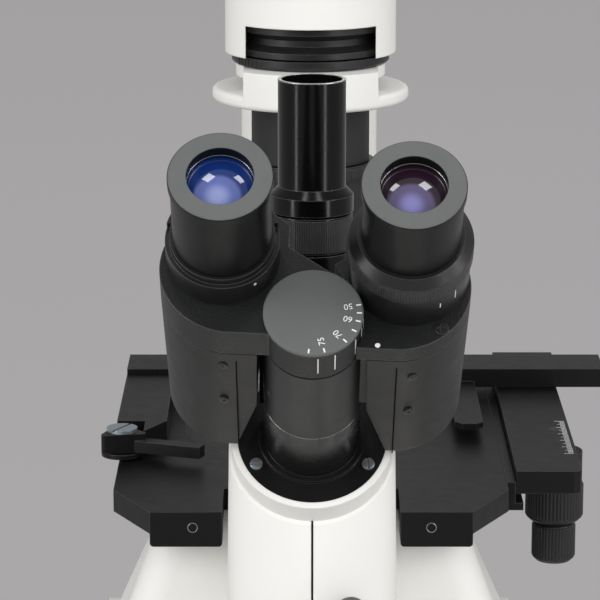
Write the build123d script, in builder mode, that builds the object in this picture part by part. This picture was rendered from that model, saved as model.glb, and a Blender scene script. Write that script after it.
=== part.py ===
from build123d import *
from math import acos, asin, atan2, ceil, cos, degrees, pi, radians, sin, tan
import os

# Inverted tissue-culture microscope, in millimetres. +Z is up and the user sits at -Y.
# The origin lies on the bench, under the middle of the footprint box.

# Optical layout
AXIS_Y = 38.0  # objective and condenser axis, behind the origin
STAGE_TOP_Z = 205.0
HEAD_TILT = 45.0
FLANGE_AHEAD = 180.5  # head flange centre, in front of the optical axis
FLANGE_Z = 251.8
RUN = 0.05  # running clearance of a shaft in its hole
GAP = 0.3  # clearance between pieces that pass each other

# Base
BASE_W = 224.0
BASE_FRONT = 212.0  # ahead of the optical axis
BASE_REAR = 198.0  # behind it
BASE_FRONT_R = 62.0
BASE_REAR_R = 26.0
BASE_EDGE_R = 9.0
BASE_TOP_Z = 56.0
BASE_PLATE_T = 2.0
BASE_PLATE_INSET = 5.0
FOOT_H = 10.0
FOOT_R = 13.0
FOOT_DRAFT = 6.0
FOOT_GRID_X = 150.0
FOOT_GRID_Y = 290.0
CAVITY_WALL = 9.0
MIRROR_BLOCK_W = 56.0  # metal left round the mirror, inside the hollow base
MIRROR_BLOCK_H = 24.0
MIRROR_ROOM = 17.0  # clear depth over the mirror

# Stage walls: a body of trapezium section under the stage
BODY_FRONT = 106.0  # ahead of the optical axis
BODY_REAR = 138.0
BODY_TOP_HALF = 60.5
BODY_FOOT_HALF = 110.5
BODY_REAR_HALF = 72.0  # rear leg behind the bay, upright sides
BODY_EDGE_R = 13.0
BAY_REAR = 92.0
BAY_FLOOR_RISE = 2.0
TUNNEL_R = 20.0  # casting round the light path
TUNNEL_BORE_R = 15.0
TUNNEL_ROOF = 4.0
POCKET_TOP_Z = 150.0  # hollows beside the light tunnel
POCKET_W = 40.0

# Neck covers and head collar
NECK_HALF = 31.0
NECK_REAR = 106.0  # ahead of the optical axis
NECK_WALL = 3.5
NECK_DRAFT = 0.9
NECK_SEAM = 0.8
COLLAR_R = 30.4
COLLAR_H = 10.0
FLANGE_R = 27.9
FLANGE_T = 6.0

# Stage
STAGE_W = 160.0
STAGE_D = 250.0
STAGE_T = 9.0
STAGE_CORNER_X = 16.0
STAGE_CORNER_Y = 30.0
STAGE_NOTCH_HALF = 35.3
STAGE_NOTCH_D = 32.0
LUG_DROP = 5.4
LUG_D = 16.0
LUG_EDGE_R = 1.5
INSERT_R = 54.0
INSERT_T = 3.0
INSERT_HOLE_R = 15.0
INSERT_LEDGE = 4.0

# Illuminator column and lamp housing
COLUMN_W = 64.0
COLUMN_D = 54.0
COLUMN_EDGE_R = 12.0
COLUMN_WALL = 6.0
ARM_Z = 388.0
ARM_H = 48.0
ARM_BEND_R = 46.0
LAMP_R = 36.0
LAMP_WALL = 4.0
LAMP_DROP = 18.0  # foot of the lamp housing, below the arm's underside
LAMP_H = 70.0
LAMP_DOOR_W = 54.0
LAMP_DOOR_H = 13.5
CAP_H = 12.0
CAP_EDGE_R = 6.0
CAP_WALL = 3.5
VENT_W = 3.0
VENT_L = 26.0
VENT_PITCH = 7.5
SOCKET_R = 11.0
SOCKET_L = 14.0
BULB_R = 5.5
BULB_L = 18.0
BULB_NECK_R = 4.0
BULB_NECK_L = 9.0
COLLECTOR_R = 20.0
COLLECTOR_T = 9.0
COLLECTOR_EDGE = 4.0

# Filter ring, field iris ring, condenser carrier and condenser
FILTER_H = 10.0
IRIS_RING_R = 33.25
IRIS_RING_T = 4.0
STEM_R = 22.0  # threaded stem of the condenser carrier
STEM_L = 8.0
STEM_BORE_R = 17.0
CARRIER_NECK_R = 31.5
CARRIER_NECK_H = 10.2
CARRIER_R = 41.5
CARRIER_T = 5.7
CARRIER_EDGE_R = 2.2
PANEL_W = 56.0
SLIDER_SLOT_W = 30.0
SLIDER_SLOT_H = 5.0
CONDENSER_R = 25.0
CONDENSER_L = 68.0
CONDENSER_NOSE_R = 20.0
CONDENSER_NOSE_L = 20.0
CONDENSER_WALL = 4.0
APERTURE_DROP = 32.0  # lever ring below the carrier
APERTURE_T = 6.0
APERTURE_R = 27.0
APERTURE_SEAT_R = 22.0
LEVER_R = 2.0
LEVER_L = 14.0

# Binocular head, heights above the flange face along the tilted hinge axis
STEP_R = 20.0
STEP_H = 1.2
BARREL_R = 17.8
BARREL_TOP = 30.0
POST_R = 12.0
SLEEVE_TOP = 72.4
PIVOT_R = 8.0
LIGHT_BORE_R = 9.0
LIGHT_BORE_TOP = 62.0
HINGE_R = 17.6
PLATE_LOW = 73.1
LEFT_PLATE_TOP = 87.6
RIGHT_PLATE_TOP = 80.9
DIAL_T = 1.6
DIAL_EDGE = 0.6
ARM_LEAN = 3.0  # both arms as photographed, turned clockwise about the hinge
EYE_DISTANCE = 66.0
ARM_R = 39.8  # hinge axis to eyepiece axis
KNUCKLE_R = 26.6
KNUCKLE_X = 28.6
KNUCKLE_N = 17.5
KNUCKLE_FRONT = 9.0
KNUCKLE_INNER = 19.4
PLATE_INNER = 10.0
COVER_LOW = 6.4
COVER_DRAFT = 0.8
COVER_CUT_W = 8.0
COVER_CUT_H = 32.0
SPIGOT_INSET = 2.0
WEB_LOW = 36.0
WEB_FRONT = 5.0
WEB_BACK = 14.0
TUBE_R = 16.9
TUBE_H = 14.0
TUBE_BORE_R = 15.0

# Eyepieces and their rings
EYE_FACE_H = 138.4
EYE_FACE_R = 18.15
EYE_FACE_BAND = 4.0
EYE_BARREL_R = 17.4
EYE_FACE_EDGE = 0.6
EYE_LENS_R = 11.65
EYE_LENS_DEPTH = 4.5
EYE_LENS_T = 5.0
EYE_LENS_CROWN = 1.6
EYE_SWING = 14.5  # each arm, from the photographed setting to the closest
SWEEP_STEPS = 4
EYE_BORE_R = 12.6
LEFT_COLLAR_R = 20.2
LEFT_COLLAR_TOP = 101.4
LEFT_COLLAR_LEDGE = 3.0
LEFT_COLLAR_LIP = 1.6
DIOPTER_R = 21.8
DIOPTER_BASE_R = 21.3
DIOPTER_TOP = 107.4
DIOPTER_BEVEL = 3.0
DIOPTER_BAND = 8.0
DIOPTER_TRAVEL = 2.5

# Photo port
PHOTO_AHEAD = 132.0  # photo tube axis, in front of the optical axis
PHOTO_BASE_R = 15.0
PHOTO_RING_Z = 313.0
PHOTO_RING_H = 15.0
PHOTO_RING_R = 15.5
PHOTO_COLLAR_R = 16.0
PHOTO_COLLAR_H = 9.5
PHOTO_COLLAR_BEVEL = 3.0
PHOTO_TUBE_R = 13.0
PHOTO_TUBE_BORE_R = 11.6
PHOTO_TUBE_TOP = 379.0
PHOTO_STEM_R = 11.0
PHOTO_STEM_BORE_R = 9.0
SELECTOR_X = 14.5
SELECTOR_Z = 189.5
SELECTOR_R = 2.5
SELECTOR_KNOB_R = 6.0
SELECTOR_KNOB_L = 14.0
SELECTOR_STAND = 3.0
SELECTOR_TRAVEL = 12.0

# Mechanical stage
GUIDE_W = 3.6
GUIDE_D = 194.0
GUIDE_FRONT = 84.0
GUIDE_LEDGE = 3.0  # foot under the carriage, wide and thick alike
CARRIAGE_W = 27.0
CARRIAGE_FRONT = 84.0
CARRIAGE_REAR = 82.0
CARRIAGE_T = 9.6
CARRIAGE_RISE = 4.6  # carriage top above the stage
CARRIAGE_EDGE_R = 4.0
TRACK_D = 5.0
RIB_D = 6.0  # rib on the carriage that the cross bar's groove rides on
RIB_H = 3.0
BAR_T = 8.5
BAR_FRONT = 48.0  # behind the optical axis
BAR_D = 26.0
BAR_RIGHT = 132.0
HOLDER_LEFT = 82.0
HOLDER_W = 21.0
HOLDER_T = 10.0
HOLDER_LIFT = 1.0  # holder underside above the stage
HOLDER_SHOULDER = 30.0  # ahead of the optical axis
HOLDER_PRONG = 16.0
HOLDER_PRONG_W = 9.0
TONGUE_X = 62.0
TONGUE_W = 12.0
TONGUE_FRONT = 22.0
TONGUE_T = 2.6
TONGUE_EDGE = 3.0
FINGER_PIVOT_X = -79.0
FINGER_PIVOT_AHEAD = 47.0
FINGER_HUB_H = 8.0
FINGER_HUB_R = 9.0
FINGER_HUB_SIDES = 3
FINGER_REACH = 36.0
FINGER_BAR_W = 6.0
FINGER_BAR_H = 5.0
FINGER_SWEEP = 20.0  # the bar slants this many degrees towards the user
EAR_T = 2.0
PIVOT_SCREW_R = 3.0
PIVOT_HEAD_R = 6.4
PIVOT_HEAD_H = 1.5
PIVOT_SLOT_W = 1.2
PIVOT_SLOT_TURN = 60.0
DRIVE_X = 105.0
DRIVE_AHEAD = 20.0
X_KNOB_R = 9.0
Y_KNOB_R = 12.0
DRIVE_KNOB_H = 18.0
DRIVE_SHAFT_R = 3.0
DRIVE_CORE_R = 1.5
DRIVE_HANG = 12.0

# Focus drive and nosepiece
PINION_TEETH = 15
GEAR_MODULE = 0.8
GEAR_BACKLASH = 0.16
GEAR_ADDENDUM = 0.9  # of a module
GEAR_DEDENDUM = 1.2
PRESSURE = 20.0
PINION_W = 10.0
RACK_SPARE_TEETH = 9  # beyond the travel
RACK_BACK = 2.0
SHAFT_Z = 58.0
SHAFT_BEHIND = 110.0
SHAFT_R = 4.0
FINE_SHAFT_R = 2.0
BOSS_R = 29.5
BOSS_INSET = 16.0  # boss face inside the base's side
BOSS_IN_X = 28.0
SPIGOT_R = 12.0
SPIGOT_L = 7.0
TENSION_R = 22.0
COARSE_R = 25.0
COARSE_L = 15.0
COARSE_DISH_R = 18.0
FINE_R = 16.0
FINE_L = 12.0
KNOB_EDGE = 1.5
SLIDE_W = 40.0
SLIDE_T = 14.0
SLIDE_LOW = 64.0
SLIDE_H = 88.0
KEY_W = 20.0
KEY_D = 9.0
SLIDE_FIT = 0.1
FOCUS_UP = 8.0
FOCUS_DOWN = 4.0
TURRET_LEAN = 12.0
SEAT_PITCH_R = 25.0
SEAT_COUNT = 4
SEAT_Z = 151.0
SEAT_SINK = 0.8
TURRET_RIM = 1.0  # metal outside the objective seats
TURRET_DEPTH = 14.0
TURRET_EDGE_R = 2.0
TURRET_BORE_R = 7.0
SEAT_HOLE_R = 8.5
NOSE_DISC_INSET = 4.0
NOSE_DISC_T = 8.0
NOSE_ARM_W = 34.0
NOSE_ARM_LIFT = 48.0  # arm underside above the slide's foot
OBJECTIVE_R = 12.0
OBJECTIVE_FOOT_H = 7.0
OBJECTIVE_LENGTHS = (30.0, 33.0, 38.0, 41.0)
OBJECTIVE_TIP_R = (9.0, 7.5, 6.5, 6.0)
OBJECTIVE_NAMES = ("4x", "10x", "20x", "40x")
OBJECTIVE_CONE = 9.0
OBJECTIVE_BORE_R = 4.0

# Mirror and electrics
MIRROR_W = 26.0
MIRROR_L = 34.0
MIRROR_T = 4.0
PANEL_Z = 31.0
INLET_X = 48.0
INLET_W = 27.0
INLET_H = 20.0
INLET_WALL = 1.6
INLET_L = 18.0
INLET_FLANGE = 2.0
INLET_FLANGE_W = 48.0
INLET_FLANGE_H = 30.0
PIN_W = 2.0
PIN_H = 4.0
PIN_L = 12.0
PIN_PITCH = 7.0
ROCKER_X = -48.0
ROCKER_W = 13.0
ROCKER_R = 15.0
ROCKER_AXLE_IN = 8.0
ROCKER_THROW = 12.0
ROCKER_FIT = 0.3
DIMMER_AHEAD = 60.0
DIMMER_R = 11.0
DIMMER_L = 13.0
DIMMER_SHAFT_R = 3.0

# Places worked out from the sizes above
STAGE_SEAT_Z = STAGE_TOP_Z - STAGE_T
FLANGE_Y = AXIS_Y - FLANGE_AHEAD
TILT = radians(HEAD_TILT)
HEAD_AXIS = Vector(0, -sin(TILT), cos(TILT))
HEAD_ACROSS = Vector(0, cos(TILT), sin(TILT))
FLANGE = Vector(0, FLANGE_Y, FLANGE_Z)
MIRROR_Z = FLANGE_Z - FLANGE_AHEAD / tan(TILT)
BASE_BOTTOM_Z = FOOT_H + BASE_PLATE_T
BASE_MID_Y = AXIS_Y + (BASE_REAR - BASE_FRONT) / 2
BASE_D = BASE_FRONT + BASE_REAR
COLLAR_FOOT = FLANGE - HEAD_AXIS * COLLAR_H
NECK_FRONT_DEPTH = NECK_HALF * cos(TILT)
NECK_TOP_Z = COLLAR_FOOT.Z + NECK_HALF * sin(TILT)
HALF_ANGLE = degrees(asin(EYE_DISTANCE / 2 / ARM_R))
PHOTO_Y = AXIS_Y - PHOTO_AHEAD
LAMP_Z = ARM_Z - LAMP_DROP
IRIS_RING_Z = LAMP_Z - GAP - IRIS_RING_T
CARRIER_NECK_Z = IRIS_RING_Z - GAP - CARRIER_NECK_H
CARRIER_Z = CARRIER_NECK_Z - CARRIER_T
HOLDER_Z = STAGE_TOP_Z + HOLDER_LIFT
BOSS_X = BASE_W / 2 - BOSS_INSET
SPIGOT_X = BOSS_X + SPIGOT_L
SHAFT_Y = AXIS_Y + SHAFT_BEHIND
RACK_TEETH = ceil((FOCUS_UP + FOCUS_DOWN) / (pi * GEAR_MODULE)) + RACK_SPARE_TEETH
RACK_HALF = RACK_TEETH * pi * GEAR_MODULE / 2
RACK_LOW_Z = SHAFT_Z - RACK_HALF
TURRET_R = SEAT_PITCH_R + OBJECTIVE_R + TURRET_RIM
PITCH_R = GEAR_MODULE * PINION_TEETH / 2
RACK_PITCH_Y = SHAFT_Y - PITCH_R
KEY_BACK_Y = AXIS_Y + BAY_REAR - SLIDE_FIT + KEY_D
TURRET_TILT = radians(TURRET_LEAN)
TURRET_AXIS = Vector(0, sin(TURRET_TILT), cos(TURRET_TILT))
TURRET_CENTRE = Vector(
    0, AXIS_Y + SEAT_PITCH_R * cos(TURRET_TILT), SEAT_Z - SEAT_PITCH_R * sin(TURRET_TILT)
)


def head_point(x, n, height):
    """A point of the head, from its place across the hinge and its height up the axis."""
    return FLANGE + Vector(x, 0, 0) + HEAD_ACROSS * n + HEAD_AXIS * height


def head_plane(height, lean=0.0):
    """A plane square to the hinge axis, turned about it by the lean of the arms."""
    across = Vector(1, 0, 0) * cos(radians(lean)) - HEAD_ACROSS * sin(radians(lean))
    return Plane(origin=head_point(0, 0, height), x_dir=across, z_dir=HEAD_AXIS)


def eye_place(side):
    """Where an eyepiece axis stands across the hinge: side is -1 for left, +1 for right."""
    angle = radians(90 - side * HALF_ANGLE - ARM_LEAN)
    return ARM_R * cos(angle), ARM_R * sin(angle)


def head_axis_at(x, n):
    """The line parallel to the hinge through one place of the head."""
    return Axis(head_point(x, n, 0), HEAD_AXIS)


def turned_face(plane, outline):
    """A closed profile of straight lines on a plane, for turning."""
    with BuildSketch(plane) as profile:
        with BuildLine():
            Polyline(*outline, close=True)
        make_face()
    return profile.sketch


def head_profile(x, n, outline):
    """A profile of (radius, height) pairs beside a line parallel to the hinge."""
    return turned_face(Plane(head_point(x, n, 0), x_dir=(1, 0, 0), z_dir=-HEAD_ACROSS), outline)


def upright_profile(y, outline):
    """A profile of (radius, height) pairs beside an upright line."""
    return turned_face(Plane((0, y, 0), x_dir=(1, 0, 0), z_dir=(0, -1, 0)), outline)


def across_profile(y, z, outline):
    """A profile of (position, radius) pairs beside a line along X."""
    return turned_face(Plane((0, y, z), x_dir=(1, 0, 0), z_dir=(0, -1, 0)), outline)


def upright_axis(y):
    """The upright line at one depth."""
    return Axis((0, y, 0), (0, 0, 1))


def crown_radius(half_width, rise):
    """The radius of a lens face, from its half width and the rise of its middle."""
    return (half_width**2 + rise**2) / (2 * rise)


def finish(builder, label):
    """Names a finished piece and writes it."""
    builder.part.label = label
    export_step(builder.part, f"parts/{label}.step")


os.makedirs("parts", exist_ok=True)
light_axis = upright_axis(AXIS_Y)
hinge_axis = head_axis_at(0, 0)
shaft_axis = Axis((0, SHAFT_Y, SHAFT_Z), (1, 0, 0))


# Stage walls: the flared body, before the bay is cut through it
with BuildPart() as stage_walls:
    body_rear_plane = Plane((0, AXIS_Y + BODY_REAR, 0), x_dir=(1, 0, 0), z_dir=(0, -1, 0))
    with BuildSketch(body_rear_plane):
        with BuildLine():
            Polyline(
                (-BODY_TOP_HALF, STAGE_SEAT_Z),
                (BODY_TOP_HALF, STAGE_SEAT_Z),
                (BODY_FOOT_HALF, BASE_TOP_Z),
                (-BODY_FOOT_HALF, BASE_TOP_Z),
                close=True,
            )
        make_face()
    extrude(amount=BODY_REAR + BODY_FRONT)
    front_edges = stage_walls.faces().sort_by(Axis.Y)[0].edges()
    fillet(front_edges.filter_by(Axis.X, reverse=True), BODY_EDGE_R)


# Base casting: footprint, stage walls, light tunnel, focus bosses and the cuts for what it carries
ramp_reach = MIRROR_Z + (TUNNEL_R + TUNNEL_ROOF) / sin(TILT)
bay_floor_z = BASE_TOP_Z + BAY_FLOOR_RISE
rear_face_y = AXIS_Y + BASE_REAR
with BuildPart() as base_casting:
    with BuildSketch(Plane.XY.offset(BASE_BOTTOM_Z)) as footprint:
        with Locations((0, BASE_MID_Y)):
            Rectangle(BASE_W, BASE_D)
        fillet(footprint.vertices().group_by(Axis.Y)[0], BASE_FRONT_R)
        fillet(footprint.vertices().group_by(Axis.Y)[-1], BASE_REAR_R)
    extrude(amount=BASE_TOP_Z - BASE_BOTTOM_Z)
    fillet(base_casting.faces().sort_by(Axis.Z)[-1].edges(), BASE_EDGE_R)
    add(stage_walls.part)
    with BuildSketch(Plane.XY.offset(BASE_TOP_Z)):
        for side in (-1, 1):
            with Locations((side * (BODY_REAR_HALF + BASE_W / 2), AXIS_Y + BODY_REAR)):
                Rectangle(BASE_W, 2 * (BODY_REAR - BAY_REAR))
    extrude(amount=STAGE_SEAT_Z - BASE_TOP_Z, mode=Mode.SUBTRACT)
    with BuildSketch(Plane.YZ):
        with BuildLine():
            Polyline(
                (AXIS_Y + ramp_reach - STAGE_TOP_Z, STAGE_TOP_Z),
                (AXIS_Y + ramp_reach - bay_floor_z, bay_floor_z),
                (AXIS_Y + BAY_REAR, bay_floor_z),
                (AXIS_Y + BAY_REAR, STAGE_TOP_Z),
                close=True,
            )
        make_face()
    extrude(amount=BASE_W, both=True, mode=Mode.SUBTRACT)
    with BuildSketch(head_plane(-COLLAR_H)):
        Circle(TUNNEL_R)
    extrude(amount=-FLANGE_AHEAD)
    for side in (-1, 1):
        with BuildSketch(Plane.YZ.offset(side * BOSS_X)):
            with Locations((SHAFT_Y, SHAFT_Z)):
                Circle(COARSE_R + KNOB_EDGE)
        extrude(amount=side * BASE_W, mode=Mode.SUBTRACT)
        with BuildSketch(Plane.YZ.offset(side * BOSS_IN_X)):
            with Locations((SHAFT_Y, SHAFT_Z)):
                Circle(BOSS_R)
        extrude(amount=side * (BOSS_X - BOSS_IN_X))
        with BuildSketch(Plane.YZ.offset(side * BOSS_IN_X)):
            with Locations((SHAFT_Y, SHAFT_Z)):
                Circle(SPIGOT_R)
        extrude(amount=side * (SPIGOT_X - BOSS_IN_X))
    groove_low = RACK_LOW_Z - FOCUS_DOWN - SLIDE_T / 2
    with BuildSketch(Plane.XY.offset(groove_low)):
        with Locations((0, AXIS_Y + BAY_REAR)):
            Rectangle(KEY_W + 2 * SLIDE_FIT, 2 * (SHAFT_BEHIND + 2 * PITCH_R - BAY_REAR))
    extrude(amount=STAGE_SEAT_Z - groove_low, mode=Mode.SUBTRACT)
    with BuildSketch(Plane.YZ.offset(-SPIGOT_X)):
        with Locations((SHAFT_Y, SHAFT_Z)):
            Circle(SHAFT_R + RUN)
    extrude(amount=2 * SPIGOT_X, mode=Mode.SUBTRACT)
    with BuildSketch(head_plane(-COLLAR_H)):
        Circle(TUNNEL_BORE_R)
    extrude(amount=-(FLANGE_AHEAD / sin(TILT) - COLLAR_H), mode=Mode.SUBTRACT)
    mirror_plane = Plane(
        (0, AXIS_Y, MIRROR_Z), x_dir=(1, 0, 0), z_dir=(HEAD_AXIS + Vector(0, 0, 1)).normalized()
    )
    with BuildSketch(mirror_plane.offset(-MIRROR_T)):
        Rectangle(MIRROR_W, MIRROR_L)
    extrude(amount=MIRROR_ROOM, mode=Mode.SUBTRACT)
    with BuildSketch(Plane.XY.offset(MIRROR_Z)):
        with Locations((0, AXIS_Y)):
            Circle(TUNNEL_BORE_R)
    extrude(amount=STAGE_SEAT_Z - MIRROR_Z, mode=Mode.SUBTRACT)
    with BuildSketch(Plane.XY.offset(BASE_BOTTOM_Z)) as hollow:
        with Locations((0, BASE_MID_Y)):
            Rectangle(BASE_W - 2 * CAVITY_WALL, BASE_D - 2 * CAVITY_WALL)
        fillet(hollow.vertices().group_by(Axis.Y)[0], BASE_FRONT_R - CAVITY_WALL)
        fillet(hollow.vertices().group_by(Axis.Y)[-1], BASE_REAR_R - CAVITY_WALL)
        with Locations((0, AXIS_Y)):
            Rectangle(MIRROR_BLOCK_W, MIRROR_BLOCK_W, mode=Mode.SUBTRACT)
    extrude(amount=BASE_TOP_Z - CAVITY_WALL - BASE_BOTTOM_Z, mode=Mode.SUBTRACT)
    with BuildSketch(Plane.XY.offset(BASE_BOTTOM_Z)):
        with Locations((0, AXIS_Y)):
            Rectangle(MIRROR_BLOCK_W + CAVITY_WALL, MIRROR_BLOCK_W + CAVITY_WALL)
    extrude(amount=MIRROR_Z - MIRROR_BLOCK_H - BASE_BOTTOM_Z, mode=Mode.SUBTRACT)
    pocket_front = AXIS_Y - BODY_FRONT + CAVITY_WALL
    pocket_back = AXIS_Y + ramp_reach - POCKET_TOP_Z - CAVITY_WALL / sin(TILT)
    with BuildSketch(Plane.XY.offset(BASE_TOP_Z - 2 * CAVITY_WALL)):
        for side in (-1, 1):
            with Locations((side * (TUNNEL_R + CAVITY_WALL + POCKET_W / 2), pocket_front)):
                Rectangle(POCKET_W, pocket_back - pocket_front, align=(Align.CENTER, Align.MIN))
    extrude(amount=POCKET_TOP_Z - BASE_TOP_Z + 2 * CAVITY_WALL, mode=Mode.SUBTRACT)
    with BuildSketch(Plane((0, rear_face_y, PANEL_Z), x_dir=(-1, 0, 0), z_dir=(0, 1, 0))):
        with Locations((-INLET_X, 0)):
            Rectangle(INLET_W, INLET_H)
    extrude(amount=-INLET_L, mode=Mode.SUBTRACT)
    with BuildSketch(Plane((0, rear_face_y, PANEL_Z), x_dir=(-1, 0, 0), z_dir=(0, 1, 0))):
        with Locations((-ROCKER_X, 0)):
            Rectangle(ROCKER_W + 2 * ROCKER_FIT, 2 * ROCKER_R + 2 * ROCKER_FIT)
    extrude(amount=-(ROCKER_AXLE_IN + ROCKER_R + ROCKER_FIT), mode=Mode.SUBTRACT)
    with BuildSketch(Plane.YZ.offset(BASE_W / 2)):
        with Locations((AXIS_Y - DIMMER_AHEAD, PANEL_Z)):
            Circle(DIMMER_SHAFT_R + RUN)
    extrude(amount=-2 * CAVITY_WALL, mode=Mode.SUBTRACT)
    selector_front = Plane((0, AXIS_Y - BASE_FRONT, 0), x_dir=(1, 0, 0), z_dir=(0, -1, 0))
    with BuildSketch(selector_front):
        with Locations((SELECTOR_X, SELECTOR_Z)):
            Circle(SELECTOR_R + RUN)
    extrude(amount=-(BASE_FRONT - PHOTO_AHEAD), mode=Mode.SUBTRACT)
finish(base_casting, "base_casting")


# Base plate and feet
with BuildPart() as base_plate:
    with BuildSketch(Plane.XY.offset(FOOT_H)) as sheet:
        with Locations((0, BASE_MID_Y)):
            Rectangle(BASE_W - 2 * BASE_PLATE_INSET, BASE_D - 2 * BASE_PLATE_INSET)
        fillet(sheet.vertices().group_by(Axis.Y)[0], BASE_FRONT_R - BASE_PLATE_INSET)
        fillet(sheet.vertices().group_by(Axis.Y)[-1], BASE_REAR_R - BASE_PLATE_INSET)
    extrude(amount=BASE_PLATE_T)
finish(base_plate, "base_plate")

with BuildPart() as rubber_feet:
    with BuildSketch(Plane.XY.offset(FOOT_H)):
        with Locations((0, BASE_MID_Y)):
            with GridLocations(FOOT_GRID_X, FOOT_GRID_Y, 2, 2):
                Circle(FOOT_R)
    extrude(amount=-FOOT_H, taper=FOOT_DRAFT)
finish(rubber_feet, "rubber_feet")


def neck_section(z, inset):
    """The neck's plan at one height: an elliptical front, so that the tilted collar on it is round."""
    grow = (NECK_TOP_Z - z) * tan(radians(NECK_DRAFT)) - inset
    rear_y = AXIS_Y - NECK_REAR
    with BuildSketch(Plane.XY.offset(z)) as section:
        with Locations((0, COLLAR_FOOT.Y)):
            Ellipse(NECK_HALF + grow, NECK_FRONT_DEPTH + grow)
            Rectangle(
                4 * NECK_HALF, 4 * NECK_HALF, align=(Align.CENTER, Align.MIN), mode=Mode.SUBTRACT
            )
            Rectangle(
                2 * (NECK_HALF + grow), rear_y - COLLAR_FOOT.Y, align=(Align.CENTER, Align.MIN)
            )
    return section.sketch


# Neck covers: two shells that meet at a seam down the front
for side, label in ((-1, "neck_cover_left"), (1, "neck_cover_right")):
    with BuildPart() as neck_cover:
        loft([neck_section(BASE_TOP_Z, 0), neck_section(NECK_TOP_Z, 0)])
        hollow_top = NECK_TOP_Z - NECK_WALL
        loft([neck_section(BASE_TOP_Z, NECK_WALL), neck_section(hollow_top, NECK_WALL)], mode=Mode.SUBTRACT)
        split(bisect_by=head_plane(-COLLAR_H), keep=Keep.BOTTOM)
        split(bisect_by=Plane.YZ.offset(side * NECK_SEAM / 2), keep=Keep.TOP if side > 0 else Keep.BOTTOM)
        with BuildSketch(head_plane(-COLLAR_H)):
            Circle(TUNNEL_R)
        extrude(amount=-FLANGE_AHEAD, mode=Mode.SUBTRACT)
        with BuildSketch(Plane.XY.offset(NECK_TOP_Z)):
            with Locations((0, PHOTO_Y)):
                Circle(PHOTO_STEM_BORE_R)
        extrude(amount=-2 * NECK_WALL, mode=Mode.SUBTRACT)
        with BuildSketch(selector_front):
            with Locations((SELECTOR_X, SELECTOR_Z)):
                Circle(SELECTOR_R + RUN)
        extrude(amount=-(BASE_FRONT - PHOTO_AHEAD), mode=Mode.SUBTRACT)
        with BuildSketch(Plane.XZ.offset(BODY_FRONT - AXIS_Y)):
            Rectangle(BASE_W, 2 * STAGE_SEAT_Z)
        extrude(amount=-BODY_FRONT, mode=Mode.SUBTRACT)
    finish(neck_cover, label)

with BuildPart() as head_collar:
    with BuildSketch(head_plane(-COLLAR_H)):
        Circle(COLLAR_R)
        Circle(TUNNEL_BORE_R, mode=Mode.SUBTRACT)
    extrude(amount=COLLAR_H)
    with BuildSketch(head_plane(0)):
        Circle(FLANGE_R)
    extrude(amount=-FLANGE_T, mode=Mode.SUBTRACT)
finish(head_collar, "head_collar")


# Stage plate with the neck notch and the two front lugs, and its round insert
with BuildPart() as stage_plate:
    half_w = STAGE_W / 2
    half_d = STAGE_D / 2
    with BuildSketch(Plane((0, AXIS_Y, STAGE_SEAT_Z))):
        Polygon(
            (-half_w + STAGE_CORNER_X, -half_d),
            (half_w - STAGE_CORNER_X, -half_d),
            (half_w, -half_d + STAGE_CORNER_Y),
            (half_w, half_d - STAGE_CORNER_Y),
            (half_w - STAGE_CORNER_X, half_d),
            (-half_w + STAGE_CORNER_X, half_d),
            (-half_w, half_d - STAGE_CORNER_Y),
            (-half_w, -half_d + STAGE_CORNER_Y),
            align=None,
        )
        Circle(INSERT_R - INSERT_LEDGE, mode=Mode.SUBTRACT)
        with Locations((0, -half_d)):
            Rectangle(2 * STAGE_NOTCH_HALF, 2 * STAGE_NOTCH_D, mode=Mode.SUBTRACT)
    extrude(amount=STAGE_T)
    with BuildSketch(Plane((0, AXIS_Y - half_d, STAGE_SEAT_Z), x_dir=(1, 0, 0), z_dir=(0, -1, 0))) as lugs:
        lug_w = half_w - STAGE_CORNER_X - STAGE_NOTCH_HALF
        for side in (-1, 1):
            with Locations((side * (STAGE_NOTCH_HALF + lug_w / 2), 0)):
                Rectangle(lug_w, LUG_DROP, align=(Align.CENTER, Align.MAX))
        fillet(lugs.vertices().group_by(Axis.Y)[0], LUG_EDGE_R)
    extrude(amount=-LUG_D)
    with BuildSketch(Plane.XY.offset(STAGE_TOP_Z)):
        with Locations((0, AXIS_Y)):
            Circle(INSERT_R)
    extrude(amount=-INSERT_T, mode=Mode.SUBTRACT)
finish(stage_plate, "stage_plate")

with BuildPart() as stage_insert:
    with BuildSketch(Plane.XY.offset(STAGE_TOP_Z - INSERT_T)):
        with Locations((0, AXIS_Y)):
            Circle(INSERT_R)
            Circle(INSERT_HOLE_R, mode=Mode.SUBTRACT)
    extrude(amount=INSERT_T)
finish(stage_insert, "stage_insert")


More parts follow.
